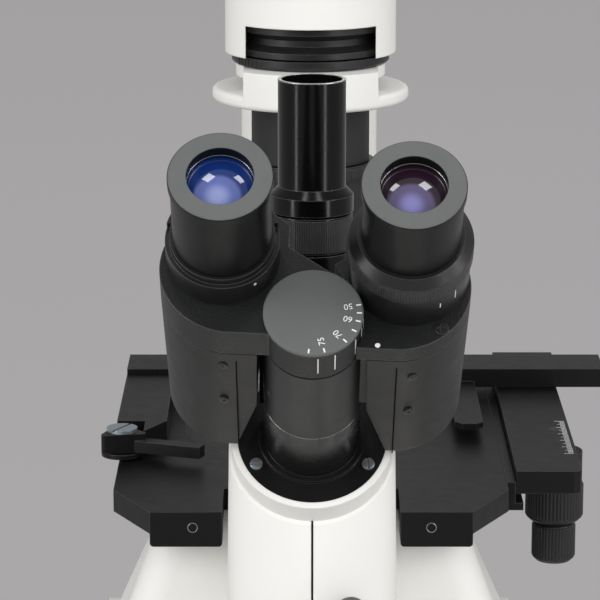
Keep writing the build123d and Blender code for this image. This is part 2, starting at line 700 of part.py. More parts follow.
# Illuminator column: an upright post that bends forward into the arm over the stage
column_front = AXIS_Y + BODY_REAR
column_rear = column_front + COLUMN_D
with BuildPart() as illuminator_column:
    with BuildSketch(Plane.YZ.offset(-COLUMN_W / 2)) as column_side:
        with BuildLine():
            Polyline(
                (column_front, BASE_TOP_Z),
                (column_rear, BASE_TOP_Z),
                (column_rear, ARM_Z + ARM_H),
                (AXIS_Y, ARM_Z + ARM_H),
                (AXIS_Y, ARM_Z),
                (column_front, ARM_Z),
                close=True,
            )
        make_face()
        fillet(column_side.vertices().group_by(Axis.Y)[-1].sort_by(Axis.X)[-1], ARM_BEND_R)
        inner_corner = column_side.vertices().sort_by_distance((column_front, ARM_Z, 0))[0]
        fillet(inner_corner, ARM_BEND_R / 2)
    extrude(amount=COLUMN_W)
    side_edges = illuminator_column.faces().sort_by(Axis.X)[0].edges()
    side_edges += illuminator_column.faces().sort_by(Axis.X)[-1].edges()
    long_edges = [e for e in side_edges if e.center().Z > BASE_TOP_Z and e.center().Y > AXIS_Y]
    fillet(long_edges, COLUMN_EDGE_R)
    with BuildSketch(Plane.XY.offset(ARM_Z - COLUMN_D)):
        with Locations((0, AXIS_Y)):
            Circle(LAMP_R)
    extrude(amount=ARM_H + 2 * COLUMN_D, mode=Mode.SUBTRACT)
    with BuildSketch(Plane.XY.offset(BASE_TOP_Z)) as duct:
        with Locations((0, column_front + COLUMN_D / 2)):
            Rectangle(COLUMN_W - 2 * COLUMN_WALL, COLUMN_D - 2 * COLUMN_WALL)
        fillet(duct.vertices(), COLUMN_EDGE_R - COLUMN_WALL)
    extrude(amount=ARM_Z - BASE_TOP_Z, mode=Mode.SUBTRACT)
finish(illuminator_column, "illuminator_column")


# Lamp housing with its filter door, and the pieces inside it
lamp_bore = LAMP_R - LAMP_WALL
lamp_top = LAMP_Z + LAMP_H
with BuildPart() as lamp_housing:
    with BuildSketch(Plane.XY.offset(LAMP_Z)):
        with Locations((0, AXIS_Y)):
            Circle(LAMP_R)
            Circle(lamp_bore, mode=Mode.SUBTRACT)
    extrude(amount=LAMP_H)
    with BuildSketch(Plane.XY.offset(LAMP_Z)):
        with Locations((0, AXIS_Y - LAMP_R)):
            Rectangle(LAMP_DOOR_W, 2 * LAMP_R - LAMP_DOOR_W / 2)
    extrude(amount=LAMP_DOOR_H, mode=Mode.SUBTRACT)
finish(lamp_housing, "lamp_housing")

with BuildPart() as lamp_cap:
    with BuildSketch(Plane.XY.offset(lamp_top)):
        with Locations((0, AXIS_Y)):
            Circle(LAMP_R)
    extrude(amount=CAP_H)
    fillet(lamp_cap.edges().group_by(Axis.Z)[-1], CAP_EDGE_R)
    with BuildSketch(Plane.XY.offset(lamp_top)):
        with Locations((0, AXIS_Y)):
            Circle(lamp_bore)
            Circle(SOCKET_R, mode=Mode.SUBTRACT)
    extrude(amount=CAP_H - CAP_WALL, mode=Mode.SUBTRACT)
    with BuildSketch(Plane.XY.offset(lamp_top + CAP_H)):
        for side in (-1, 1):
            with Locations((side * (SOCKET_R + VENT_PITCH), AXIS_Y)):
                with GridLocations(VENT_PITCH, 1, 2, 1):
                    SlotOverall(VENT_L, VENT_W, rotation=90)
    extrude(amount=-2 * CAP_WALL, mode=Mode.SUBTRACT)
finish(lamp_cap, "lamp_cap")

with BuildPart() as lamp_socket:
    with BuildSketch(Plane.XY.offset(lamp_top)):
        with Locations((0, AXIS_Y)):
            Circle(SOCKET_R)
            Circle(BULB_NECK_R, mode=Mode.SUBTRACT)
    extrude(amount=-SOCKET_L)
finish(lamp_socket, "lamp_socket")

with BuildPart() as halogen_bulb:
    neck_foot = lamp_top - SOCKET_L - BULB_NECK_R
    bulb_foot = neck_foot - BULB_L
    with BuildSketch(Plane((0, AXIS_Y, 0), x_dir=(1, 0, 0), z_dir=(0, -1, 0))):
        with BuildLine():
            Polyline((0, bulb_foot), (0, lamp_top), (BULB_NECK_R, lamp_top), (BULB_NECK_R, neck_foot))
            Line((BULB_NECK_R, neck_foot), (BULB_R, neck_foot - BULB_R))
            Line((BULB_R, neck_foot - BULB_R), (BULB_R, bulb_foot + BULB_R))
            RadiusArc((BULB_R, bulb_foot + BULB_R), (0, bulb_foot), BULB_R)
        make_face()
    revolve(axis=light_axis)
finish(halogen_bulb, "halogen_bulb")

with BuildPart() as filter_ring:
    filter_low = LAMP_Z + GAP
    filter_top = filter_low + FILTER_H
    filter_outline = (
        (STEM_R, filter_low),
        (lamp_bore, filter_low),
        (lamp_bore, filter_low + FILTER_H / 4),
        (lamp_bore - LAMP_WALL, filter_low + FILTER_H / 2),
        (lamp_bore - LAMP_WALL, filter_top - FILTER_H / 4),
        (lamp_bore, filter_top),
        (STEM_R, filter_top),
    )
    revolve(upright_profile(AXIS_Y, filter_outline), axis=light_axis)
    with BuildSketch(Plane.XY.offset(filter_top)):
        with Locations((0, AXIS_Y)):
            Circle(lamp_bore)
            Circle(COLLECTOR_R, mode=Mode.SUBTRACT)
    extrude(amount=COLLECTOR_EDGE)
finish(filter_ring, "filter_ring")

with BuildPart() as collector_lens:
    lens_low = filter_top
    with BuildSketch(Plane((0, AXIS_Y, 0), x_dir=(1, 0, 0), z_dir=(0, -1, 0))):
        with BuildLine():
            Polyline(
                (0, lens_low + COLLECTOR_T),
                (0, lens_low),
                (COLLECTOR_R, lens_low),
                (COLLECTOR_R, lens_low + COLLECTOR_EDGE),
            )
            RadiusArc(
                (0, lens_low + COLLECTOR_T),
                (COLLECTOR_R, lens_low + COLLECTOR_EDGE),
                crown_radius(COLLECTOR_R, COLLECTOR_T - COLLECTOR_EDGE),
            )
        make_face()
    revolve(axis=light_axis)
finish(collector_lens, "collector_lens")

with BuildPart() as field_iris_ring:
    with BuildSketch(Plane.XY.offset(IRIS_RING_Z)):
        with Locations((0, AXIS_Y)):
            Circle(IRIS_RING_R)
            Circle(STEM_R + RUN, mode=Mode.SUBTRACT)
    extrude(amount=IRIS_RING_T)
    chamfer(field_iris_ring.edges().group_by(Axis.Z)[0].sort_by(SortBy.LENGTH)[-1], IRIS_RING_T / 4)
finish(field_iris_ring, "field_iris_ring")


# Condenser carrier: wide ring, neck, threaded stem, raised front panel and the slot for phase sliders
with BuildPart() as condenser_carrier:
    carrier_outline = (
        (STEM_BORE_R, CARRIER_Z),
        (CARRIER_R, CARRIER_Z),
        (CARRIER_R, CARRIER_NECK_Z),
        (CARRIER_NECK_R, CARRIER_NECK_Z),
        (CARRIER_NECK_R, CARRIER_NECK_Z + CARRIER_NECK_H),
        (STEM_R, CARRIER_NECK_Z + CARRIER_NECK_H),
        (STEM_R, filter_low + STEM_L),
        (STEM_BORE_R, filter_low + STEM_L),
    )
    revolve(upright_profile(AXIS_Y, carrier_outline), axis=light_axis)
    carrier_circles = condenser_carrier.edges().filter_by(GeomType.CIRCLE)
    outer_edges = [e for e in carrier_circles if e.radius > CARRIER_NECK_R]
    fillet(outer_edges, CARRIER_EDGE_R)
    with BuildSketch(Plane.XY.offset(CARRIER_Z + CARRIER_EDGE_R)):
        with Locations((0, AXIS_Y)):
            Circle(CARRIER_R)
            Rectangle(PANEL_W, CARRIER_R, align=(Align.CENTER, Align.MAX), mode=Mode.INTERSECT)
            Circle(STEM_R, mode=Mode.SUBTRACT)
    extrude(amount=CARRIER_T - CARRIER_EDGE_R + CARRIER_NECK_H)
    with BuildSketch(Plane.YZ.offset(-CARRIER_R)):
        with Locations((AXIS_Y, CARRIER_NECK_Z + SLIDER_SLOT_H / 2)):
            Rectangle(SLIDER_SLOT_W, SLIDER_SLOT_H)
    extrude(amount=2 * CARRIER_R, mode=Mode.SUBTRACT)
finish(condenser_carrier, "condenser_carrier")

with BuildPart() as condenser_barrel:
    barrel_foot = CARRIER_Z - CONDENSER_L
    nose_top = barrel_foot + CONDENSER_NOSE_L
    lever_low = CARRIER_Z - APERTURE_DROP - GAP
    lever_top = lever_low + APERTURE_T + 2 * GAP
    lens_r = CONDENSER_NOSE_R - CONDENSER_WALL
    barrel_outline = (
        (lens_r, barrel_foot),
        (CONDENSER_NOSE_R, barrel_foot),
        (CONDENSER_NOSE_R, nose_top - CONDENSER_R + CONDENSER_NOSE_R),
        (CONDENSER_R, nose_top),
        (CONDENSER_R, lever_low),
        (APERTURE_SEAT_R, lever_low),
        (APERTURE_SEAT_R, lever_top),
        (CONDENSER_R, lever_top),
        (CONDENSER_R, CARRIER_Z),
        (STEM_BORE_R, CARRIER_Z),
        (STEM_BORE_R, CARRIER_Z + CONDENSER_WALL),
        (lens_r, CARRIER_Z + CONDENSER_WALL),
    )
    revolve(upright_profile(AXIS_Y, barrel_outline), axis=light_axis)
finish(condenser_barrel, "condenser_barrel")

with BuildPart() as aperture_ring:
    with BuildSketch(Plane.XY.offset(lever_low + GAP)):
        with Locations((0, AXIS_Y)):
            Circle(APERTURE_R)
            Circle(APERTURE_SEAT_R + RUN, mode=Mode.SUBTRACT)
    extrude(amount=APERTURE_T)
    with BuildSketch(Plane.YZ.offset(APERTURE_SEAT_R + 2 * GAP)):
        with Locations((AXIS_Y, lever_low + GAP + APERTURE_T / 2)):
            Circle(LEVER_R)
    extrude(amount=APERTURE_R - APERTURE_SEAT_R + LEVER_L)
finish(aperture_ring, "aperture_ring")

with BuildPart() as condenser_lens:
    lens_seat = barrel_foot + CONDENSER_WALL
    with BuildSketch(Plane((0, AXIS_Y, 0), x_dir=(1, 0, 0), z_dir=(0, -1, 0))):
        with BuildLine():
            Polyline(
                (0, barrel_foot + RUN),
                (0, lens_seat + CONDENSER_WALL),
                (lens_r, lens_seat + CONDENSER_WALL),
                (lens_r, lens_seat),
            )
            RadiusArc((lens_r, lens_seat), (0, barrel_foot + RUN), crown_radius(lens_r, CONDENSER_WALL - RUN))
        make_face()
    revolve(axis=light_axis)
finish(condenser_lens, "condenser_lens")


# Head barrel: flange, stepped barrel and the hinge post that both arms turn on
with BuildPart() as head_barrel:
    barrel_profile = (
        (LIGHT_BORE_R, -FLANGE_T),
        (FLANGE_R, -FLANGE_T),
        (FLANGE_R, 0),
        (STEP_R, 0),
        (STEP_R, STEP_H),
        (BARREL_R, STEP_H),
        (BARREL_R, BARREL_TOP),
        (POST_R, BARREL_TOP),
        (POST_R, SLEEVE_TOP),
        (PIVOT_R, SLEEVE_TOP),
        (PIVOT_R, LEFT_PLATE_TOP - DIAL_T),
        (0, LEFT_PLATE_TOP - DIAL_T),
        (0, LIGHT_BORE_TOP),
        (LIGHT_BORE_R, LIGHT_BORE_TOP),
    )
    revolve(head_profile(0, 0, barrel_profile), axis=hinge_axis)
finish(head_barrel, "head_barrel")


def plate_outline(side, height, swing=0.0):
    """An arm's top plate seen down the hinge: a round knuckle joined to the hinge by straight flanks."""
    reach = (PLATE_INNER**2 + (KNUCKLE_N + PLATE_INNER) ** 2) ** 0.5
    bearing = atan2(KNUCKLE_N + PLATE_INNER, -PLATE_INNER) - acos(HINGE_R / reach)
    touch = (HINGE_R * cos(bearing), HINGE_R * sin(bearing))
    with BuildSketch(head_plane(height, ARM_LEAN + swing)) as outline:
        with Locations((side * KNUCKLE_X, KNUCKLE_N)):
            Circle(KNUCKLE_R)
        with Locations((side * PLATE_INNER, KNUCKLE_N)):
            Rectangle(
                2 * KNUCKLE_R,
                4 * KNUCKLE_R,
                align=(Align.MAX if side > 0 else Align.MIN, Align.CENTER),
                mode=Mode.SUBTRACT,
            )
        with BuildLine():
            Polyline(
                (side * PLATE_INNER, KNUCKLE_N + PLATE_INNER),
                (-side * touch[0], touch[1]),
                (0, 0),
                (0, -KNUCKLE_FRONT),
                (side * KNUCKLE_X, -KNUCKLE_FRONT),
                (side * KNUCKLE_X, KNUCKLE_N + PLATE_INNER),
                close=True,
            )
        make_face()
        with Locations((side * KNUCKLE_X, -KNUCKLE_FRONT)):
            Rectangle(4 * KNUCKLE_R, KNUCKLE_R, align=(Align.CENTER, Align.MAX), mode=Mode.SUBTRACT)
    return outline.sketch


def cover_outline(side, height, inset):
    """A prism cover seen down the hinge: the knuckle with a flat front and a flat inner side."""
    with BuildSketch(head_plane(height, ARM_LEAN)) as outline:
        with Locations((side * KNUCKLE_X, KNUCKLE_N)):
            Circle(KNUCKLE_R - inset)
        with Locations((side * KNUCKLE_X, -KNUCKLE_FRONT + inset)):
            Rectangle(
                KNUCKLE_X - KNUCKLE_INNER - inset,
                KNUCKLE_N + KNUCKLE_FRONT - inset,
                align=(Align.MAX if side > 0 else Align.MIN, Align.MIN),
            )
        with Locations((side * (KNUCKLE_INNER + inset), KNUCKLE_N)):
            Rectangle(
                2 * KNUCKLE_R,
                4 * KNUCKLE_R,
                align=(Align.MAX if side > 0 else Align.MIN, Align.CENTER),
                mode=Mode.SUBTRACT,
            )
        with Locations((side * KNUCKLE_X, -KNUCKLE_FRONT + inset)):
            Rectangle(4 * KNUCKLE_R, KNUCKLE_R, align=(Align.CENTER, Align.MAX), mode=Mode.SUBTRACT)
    return outline.sketch


left_x, left_n = eye_place(-1)
right_x, right_n = eye_place(1)

# Left arm: plate with the hinge drum, dial, prism cover, tube collar and eyepiece
with BuildPart() as left_arm_plate:
    extrude(plate_outline(-1, PLATE_LOW), amount=LEFT_PLATE_TOP - PLATE_LOW)
    with BuildSketch(head_plane(PLATE_LOW)):
        Circle(HINGE_R)
    extrude(amount=LEFT_PLATE_TOP - PLATE_LOW)
    extrude(cover_outline(-1, PLATE_LOW, SPIGOT_INSET), amount=SLEEVE_TOP - PLATE_LOW)
    with BuildSketch(head_plane(PLATE_LOW)):
        Circle(PIVOT_R + RUN)
    extrude(amount=LEFT_PLATE_TOP - PLATE_LOW, mode=Mode.SUBTRACT)
finish(left_arm_plate, "left_arm_plate")

with BuildPart() as ipd_dial:
    dial_outline = (
        (0, LEFT_PLATE_TOP),
        (HINGE_R, LEFT_PLATE_TOP),
        (HINGE_R, LEFT_PLATE_TOP + DIAL_T - DIAL_EDGE),
        (HINGE_R - DIAL_EDGE, LEFT_PLATE_TOP + DIAL_T),
        (0, LEFT_PLATE_TOP + DIAL_T),
    )
    revolve(head_profile(0, 0, dial_outline), axis=hinge_axis)
finish(ipd_dial, "ipd_dial")


def cover_notch(side):
    """The slanted cut at a cover's lower inner corner, seen from the front of the head."""
    low = head_plane(COVER_LOW, ARM_LEAN)
    front = Plane(low.origin, x_dir=low.x_dir, z_dir=-low.y_dir)
    with BuildSketch(front) as notch:
        with BuildLine():
            Polyline(
                (side * (KNUCKLE_INNER - COVER_CUT_W), 0),
                (side * (KNUCKLE_INNER + COVER_CUT_W), 0),
                (side * KNUCKLE_INNER, COVER_CUT_H),
                (side * (KNUCKLE_INNER - COVER_CUT_W), COVER_CUT_H),
                close=True,
            )
        make_face()
    return notch.sketch


for side, label in ((-1, "left_prism_cover"), (1, "right_prism_cover")):
    with BuildPart() as prism_cover:
        extrude(cover_outline(side, SLEEVE_TOP, 0), amount=-(SLEEVE_TOP - COVER_LOW), taper=COVER_DRAFT)
        extrude(cover_notch(side), amount=2 * KNUCKLE_R, both=True, mode=Mode.SUBTRACT)
    finish(prism_cover, label)

with BuildPart() as left_tube_collar:
    with BuildSketch(head_plane(LEFT_PLATE_TOP)):
        with Locations((left_x, left_n)):
            Circle(LEFT_COLLAR_R)
            Circle(TUBE_BORE_R, mode=Mode.SUBTRACT)
    extrude(amount=LEFT_COLLAR_TOP - LEFT_PLATE_TOP)
    with BuildSketch(head_plane(LEFT_COLLAR_TOP)):
        with Locations((left_x, left_n)):
            Circle(LEFT_COLLAR_R)
            Circle(LEFT_COLLAR_R - LEFT_COLLAR_LIP, mode=Mode.SUBTRACT)
            with Locations((0, LEFT_COLLAR_R / 4)):
                Rectangle(
                    2 * LEFT_COLLAR_R,
                    2 * LEFT_COLLAR_R,
                    align=(Align.CENTER, Align.MIN),
                    mode=Mode.SUBTRACT,
                )
    extrude(amount=-LEFT_COLLAR_LEDGE, mode=Mode.SUBTRACT)
finish(left_tube_collar, "left_tube_collar")


def eyepiece_outline(barrel_foot_h, sleeve_foot_h):
    """An eyepiece in section: face rim, barrel, and the sleeve that plugs into its tube."""
    lens_top = EYE_FACE_H - EYE_LENS_DEPTH
    return (
        (EYE_LENS_R, EYE_FACE_H),
        (EYE_FACE_R - EYE_FACE_EDGE, EYE_FACE_H),
        (EYE_FACE_R, EYE_FACE_H - EYE_FACE_EDGE),
        (EYE_FACE_R, EYE_FACE_H - EYE_FACE_BAND),
        (EYE_BARREL_R, EYE_FACE_H - EYE_FACE_BAND - EYE_FACE_EDGE),
        (EYE_BARREL_R, barrel_foot_h),
        (TUBE_BORE_R - RUN, barrel_foot_h),
        (TUBE_BORE_R - RUN, sleeve_foot_h),
        (EYE_BORE_R, sleeve_foot_h),
        (EYE_BORE_R, lens_top - EYE_LENS_T),
        (EYE_LENS_R, lens_top - EYE_LENS_T),
    )


def eye_lens_face(x, n):
    """An eye lens in section, crowned on top and flat below."""
    lens_top = EYE_FACE_H - EYE_LENS_DEPTH
    plane = Plane(head_point(x, n, 0), x_dir=(1, 0, 0), z_dir=-HEAD_ACROSS)
    with BuildSketch(plane) as lens:
        with BuildLine():
            Polyline(
                (0, lens_top),
                (0, lens_top - EYE_LENS_T),
                (EYE_LENS_R, lens_top - EYE_LENS_T),
                (EYE_LENS_R, lens_top - EYE_LENS_CROWN),
            )
            RadiusArc(
                (0, lens_top),
                (EYE_LENS_R, lens_top - EYE_LENS_CROWN),
                crown_radius(EYE_LENS_R, EYE_LENS_CROWN),
            )
        make_face()
    return lens.sketch


with BuildPart() as left_eyepiece:
    left_outline = eyepiece_outline(LEFT_COLLAR_TOP, LEFT_PLATE_TOP)
    revolve(head_profile(left_x, left_n, left_outline), axis=head_axis_at(left_x, left_n))
finish(left_eyepiece, "left_eyepiece")

with BuildPart() as left_eye_lens:
    revolve(eye_lens_face(left_x, left_n), axis=head_axis_at(left_x, left_n))
finish(left_eye_lens, "left_eye_lens")


# Right arm: hinge sleeve, plate with the tube stub, diopter ring and eyepiece
with BuildPart() as right_hinge_sleeve:
    with BuildSketch(head_plane(BARREL_TOP + RUN)):
        Circle(BARREL_R)
        Circle(POST_R + RUN, mode=Mode.SUBTRACT)
    extrude(amount=SLEEVE_TOP - BARREL_TOP - RUN)
    with BuildSketch(head_plane(WEB_LOW, ARM_LEAN)):
        with Locations((POST_R + RUN, -WEB_FRONT)):
            Rectangle(KNUCKLE_X - POST_R, WEB_FRONT + WEB_BACK, align=(Align.MIN, Align.MIN))
        Circle(POST_R + RUN, mode=Mode.SUBTRACT)
    extrude(amount=SLEEVE_TOP - WEB_LOW)
    add(prism_cover.part, mode=Mode.SUBTRACT)
finish(right_hinge_sleeve, "right_hinge_sleeve")

with BuildPart() as right_arm_plate:
    extrude(plate_outline(1, PLATE_LOW), amount=RIGHT_PLATE_TOP - PLATE_LOW)
    extrude(cover_outline(1, PLATE_LOW, SPIGOT_INSET), amount=SLEEVE_TOP - PLATE_LOW)
    for share in range(-1, SWEEP_STEPS + 1):
        swept = plate_outline(-1, PLATE_LOW, 2 * EYE_SWING * share / SWEEP_STEPS)
        extrude(swept, amount=RIGHT_PLATE_TOP - PLATE_LOW, mode=Mode.SUBTRACT)
    with BuildSketch(head_plane(PLATE_LOW)):
        Circle(HINGE_R + GAP)
    extrude(amount=RIGHT_PLATE_TOP - PLATE_LOW, mode=Mode.SUBTRACT)
    with BuildSketch(head_plane(RIGHT_PLATE_TOP)):
        with Locations((right_x, right_n)):
            Circle(TUBE_R)
    extrude(amount=TUBE_H)
    with BuildSketch(head_plane(RIGHT_PLATE_TOP)):
        with Locations((right_x, right_n)):
            Circle(TUBE_BORE_R)
    extrude(amount=TUBE_H, mode=Mode.SUBTRACT)
finish(right_arm_plate, "right_arm_plate")

tube_top = RIGHT_PLATE_TOP + TUBE_H
right_barrel_foot = tube_top + DIOPTER_TRAVEL + GAP
with BuildPart() as diopter_ring:
    band_top = DIOPTER_TOP - DIOPTER_BEVEL
    ring_outline = (
        (TUBE_R + RUN, RIGHT_PLATE_TOP + RUN),
        (DIOPTER_BASE_R, RIGHT_PLATE_TOP + RUN),
        (DIOPTER_BASE_R, band_top - DIOPTER_BAND),
        (DIOPTER_R, band_top - DIOPTER_BAND),
        (DIOPTER_R, band_top),
        (DIOPTER_R - DIOPTER_BEVEL, DIOPTER_TOP),
        (EYE_BARREL_R + RUN, DIOPTER_TOP),
        (EYE_BARREL_R + RUN, tube_top + RUN),
        (TUBE_R + RUN, tube_top + RUN),
    )
    revolve(head_profile(right_x, right_n, ring_outline), axis=head_axis_at(right_x, right_n))
finish(diopter_ring, "diopter_ring")

with BuildPart() as right_eyepiece:
    right_outline = eyepiece_outline(right_barrel_foot, RIGHT_PLATE_TOP + DIOPTER_TRAVEL + GAP)
    revolve(head_profile(right_x, right_n, right_outline), axis=head_axis_at(right_x, right_n))
finish(right_eyepiece, "right_eyepiece")

with BuildPart() as right_eye_lens:
    revolve(eye_lens_face(right_x, right_n), axis=head_axis_at(right_x, right_n))
finish(right_eye_lens, "right_eye_lens")


# Photo port on the neck: base, lock ring and tube
photo_axis = upright_axis(PHOTO_Y)
ring_top = PHOTO_RING_Z + PHOTO_RING_H
with BuildPart() as photo_tube_base:
    with BuildSketch(Plane.XY.offset(NECK_TOP_Z)):
        with Locations((0, PHOTO_Y)):
            Circle(PHOTO_BASE_R)
            Circle(PHOTO_STEM_R, mode=Mode.SUBTRACT)
    extrude(amount=PHOTO_RING_Z - GAP - NECK_TOP_Z)
finish(photo_tube_base, "photo_tube_base")

with BuildPart() as photo_lock_ring:
    with BuildSketch(Plane.XY.offset(PHOTO_RING_Z)):
        with Locations((0, PHOTO_Y)):
            Circle(PHOTO_RING_R)
            Circle(PHOTO_STEM_R + RUN, mode=Mode.SUBTRACT)
    extrude(amount=PHOTO_RING_H)
    chamfer(photo_lock_ring.edges().filter_by(GeomType.CIRCLE).sort_by(SortBy.LENGTH)[-2:], KNOB_EDGE / 2)
finish(photo_lock_ring, "photo_lock_ring")

with BuildPart() as photo_tube:
    tube_foot = ring_top + GAP
    collar_top = tube_foot + PHOTO_COLLAR_H
    tube_outline = (
        (PHOTO_STEM_BORE_R, NECK_TOP_Z),
        (PHOTO_STEM_R, NECK_TOP_Z),
        (PHOTO_STEM_R, tube_foot),
        (PHOTO_COLLAR_R, tube_foot),
        (PHOTO_COLLAR_R, collar_top - PHOTO_COLLAR_BEVEL),
        (PHOTO_COLLAR_R - PHOTO_COLLAR_BEVEL, collar_top),
        (PHOTO_TUBE_R, PHOTO_TUBE_TOP),
        (PHOTO_TUBE_BORE_R, PHOTO_TUBE_TOP),
        (PHOTO_TUBE_BORE_R, collar_top),
        (PHOTO_STEM_BORE_R, collar_top - PHOTO_COLLAR_BEVEL),
    )
    revolve(upright_profile(PHOTO_Y, tube_outline), axis=photo_axis)
finish(photo_tube, "photo_tube")

neck_face_y = COLLAR_FOOT.Y - NECK_FRONT_DEPTH - (NECK_TOP_Z - SELECTOR_Z) * tan(radians(NECK_DRAFT))
with BuildPart() as selector_rod:
    knob_back = neck_face_y - SELECTOR_STAND
    rod_plane = Plane((SELECTOR_X, knob_back, SELECTOR_Z), x_dir=(1, 0, 0), z_dir=(0, -1, 0))
    with BuildSketch(rod_plane):
        Circle(SELECTOR_KNOB_R)
    extrude(amount=SELECTOR_KNOB_L)
    chamfer(selector_rod.edges(), KNOB_EDGE / 2)
    with BuildSketch(rod_plane):
        Circle(SELECTOR_R)
    extrude(amount=-(PHOTO_Y - knob_back - SELECTOR_TRAVEL / 2))
finish(selector_rod, "selector_rod")


# Mechanical stage: guide rail on the stage's right edge, carriage, cross bar, holders, finger and knobs
guide_left = STAGE_W / 2
carriage_left = guide_left + GUIDE_W + GAP
with BuildPart() as stage_guide:
    with BuildSketch(Plane.XY.offset(STAGE_SEAT_Z)):
        with Locations((guide_left, AXIS_Y - GUIDE_FRONT)):
            Rectangle(GUIDE_W, GUIDE_D, align=Align.MIN)
    extrude(amount=STAGE_T)
    with BuildSketch(Plane.XY.offset(STAGE_SEAT_Z - GUIDE_LEDGE)):
        with Locations((guide_left, AXIS_Y - GUIDE_FRONT)):
            Rectangle(GUIDE_W + GUIDE_LEDGE + GAP, GUIDE_D, align=Align.MIN)
    extrude(amount=GUIDE_LEDGE)
finish(stage_guide, "stage_guide")

carriage_z = STAGE_TOP_Z + CARRIAGE_RISE - CARRIAGE_T
bar_z = STAGE_TOP_Z + CARRIAGE_RISE + GAP
with BuildPart() as y_carriage:
    with BuildSketch(Plane.XY.offset(carriage_z)) as deck:
        with Locations((carriage_left, AXIS_Y - CARRIAGE_FRONT)):
            Rectangle(CARRIAGE_W, CARRIAGE_FRONT + CARRIAGE_REAR, align=Align.MIN)
        fillet(deck.vertices().group_by(Axis.X)[-1], CARRIAGE_EDGE_R)
    extrude(amount=CARRIAGE_T)
    with BuildSketch(Plane.XY.offset(STAGE_TOP_Z + CARRIAGE_RISE)):
        with Locations((carriage_left, AXIS_Y + BAR_FRONT + BAR_D + GAP)):
            Rectangle(CARRIAGE_W, TRACK_D, align=Align.MIN)
    extrude(amount=BAR_T)
    with BuildSketch(Plane.XY.offset(STAGE_TOP_Z + CARRIAGE_RISE)):
        with Locations((carriage_left, AXIS_Y + BAR_FRONT + BAR_D / 2)):
            Rectangle(CARRIAGE_W, RIB_D, align=(Align.MIN, Align.CENTER))
    extrude(amount=RIB_H)
    with BuildSketch(Plane.XY.offset(carriage_z)):
        with Locations((DRIVE_X, AXIS_Y - DRIVE_AHEAD)):
            Circle(Y_KNOB_R - GAP)
    extrude(amount=-DRIVE_HANG)
    with BuildSketch(Plane.XY.offset(carriage_z - DRIVE_HANG)):
        with Locations((DRIVE_X, AXIS_Y - DRIVE_AHEAD)):
            Circle(DRIVE_SHAFT_R + RUN)
    extrude(amount=DRIVE_HANG + CARRIAGE_T, mode=Mode.SUBTRACT)
finish(y_carriage, "y_carriage")

with BuildPart() as cross_bar:
    with BuildSketch(Plane.XY.offset(bar_z)):
        with Locations((-HOLDER_LEFT, AXIS_Y + BAR_FRONT)):
            Rectangle(HOLDER_LEFT + BAR_RIGHT, BAR_D, align=Align.MIN)
    extrude(amount=BAR_T)
    with BuildSketch(Plane.XY.offset(bar_z)) as tongue:
        with Locations((TONGUE_X, AXIS_Y - TONGUE_FRONT)):
            Rectangle(TONGUE_W, TONGUE_FRONT + BAR_FRONT + TONGUE_EDGE, align=Align.MIN)
        chamfer(tongue.vertices().group_by(Axis.Y)[0], TONGUE_EDGE)
    extrude(amount=TONGUE_T)
    with BuildSketch(Plane.XY.offset(bar_z)):
        with Locations((-HOLDER_LEFT, AXIS_Y + BAR_FRONT + BAR_D / 2)):
            Rectangle(HOLDER_LEFT + BAR_RIGHT, RIB_D + 2 * GAP, align=(Align.MIN, Align.CENTER))
    extrude(amount=RIB_H, mode=Mode.SUBTRACT)
finish(cross_bar, "cross_bar")

with BuildPart() as left_holder:
    holder_right = HOLDER_W - HOLDER_LEFT
    with BuildSketch(Plane((0, AXIS_Y, HOLDER_Z))):
        Polygon(
            (-HOLDER_LEFT, BAR_FRONT),
            (-HOLDER_LEFT, -HOLDER_SHOULDER),
            (holder_right - HOLDER_PRONG_W, -HOLDER_SHOULDER),
            (holder_right - HOLDER_PRONG_W, -HOLDER_SHOULDER - HOLDER_PRONG),
            (holder_right, -HOLDER_SHOULDER),
            (holder_right, BAR_FRONT),
            align=None,
        )
    extrude(amount=HOLDER_T)
    with BuildSketch(Plane.XY.offset(HOLDER_Z)):
        with Locations((FINGER_PIVOT_X, AXIS_Y - FINGER_PIVOT_AHEAD)):
            Circle(FINGER_HUB_R - GAP)
        with Locations((FINGER_PIVOT_X, AXIS_Y - HOLDER_SHOULDER)):
            Rectangle(
                2 * PIVOT_HEAD_R, FINGER_PIVOT_AHEAD - HOLDER_SHOULDER, align=(Align.CENTER, Align.MAX)
            )
    extrude(amount=EAR_T)
    with BuildSketch(Plane.XY.offset(HOLDER_Z)):
        with Locations((FINGER_PIVOT_X, AXIS_Y - FINGER_PIVOT_AHEAD)):
            Circle(PIVOT_SCREW_R)
    extrude(amount=EAR_T, mode=Mode.SUBTRACT)
finish(left_holder, "left_holder")

hub_z = HOLDER_Z + EAR_T + GAP
with BuildPart() as spring_finger:
    pivot_y = AXIS_Y - FINGER_PIVOT_AHEAD
    with BuildSketch(Plane.XY.offset(hub_z)) as hub:
        with Locations((FINGER_PIVOT_X, pivot_y)):
            RegularPolygon(FINGER_HUB_R + FINGER_BAR_W / 2, FINGER_HUB_SIDES, rotation=-FINGER_SWEEP)
        fillet(hub.vertices(), FINGER_BAR_W / 4)
    extrude(amount=FINGER_HUB_H)
    with BuildSketch(Plane.XY.offset(hub_z)):
        with Locations(Location((FINGER_PIVOT_X, pivot_y, 0), (0, 0, -FINGER_SWEEP))):
            Rectangle(FINGER_REACH, FINGER_BAR_W, align=(Align.MIN, Align.CENTER))
    extrude(amount=FINGER_BAR_H)
    with BuildSketch(Plane.XY.offset(hub_z)):
        with Locations((FINGER_PIVOT_X, pivot_y)):
            Circle(PIVOT_SCREW_R + RUN)
    extrude(amount=FINGER_HUB_H, mode=Mode.SUBTRACT)
finish(spring_finger, "spring_finger")

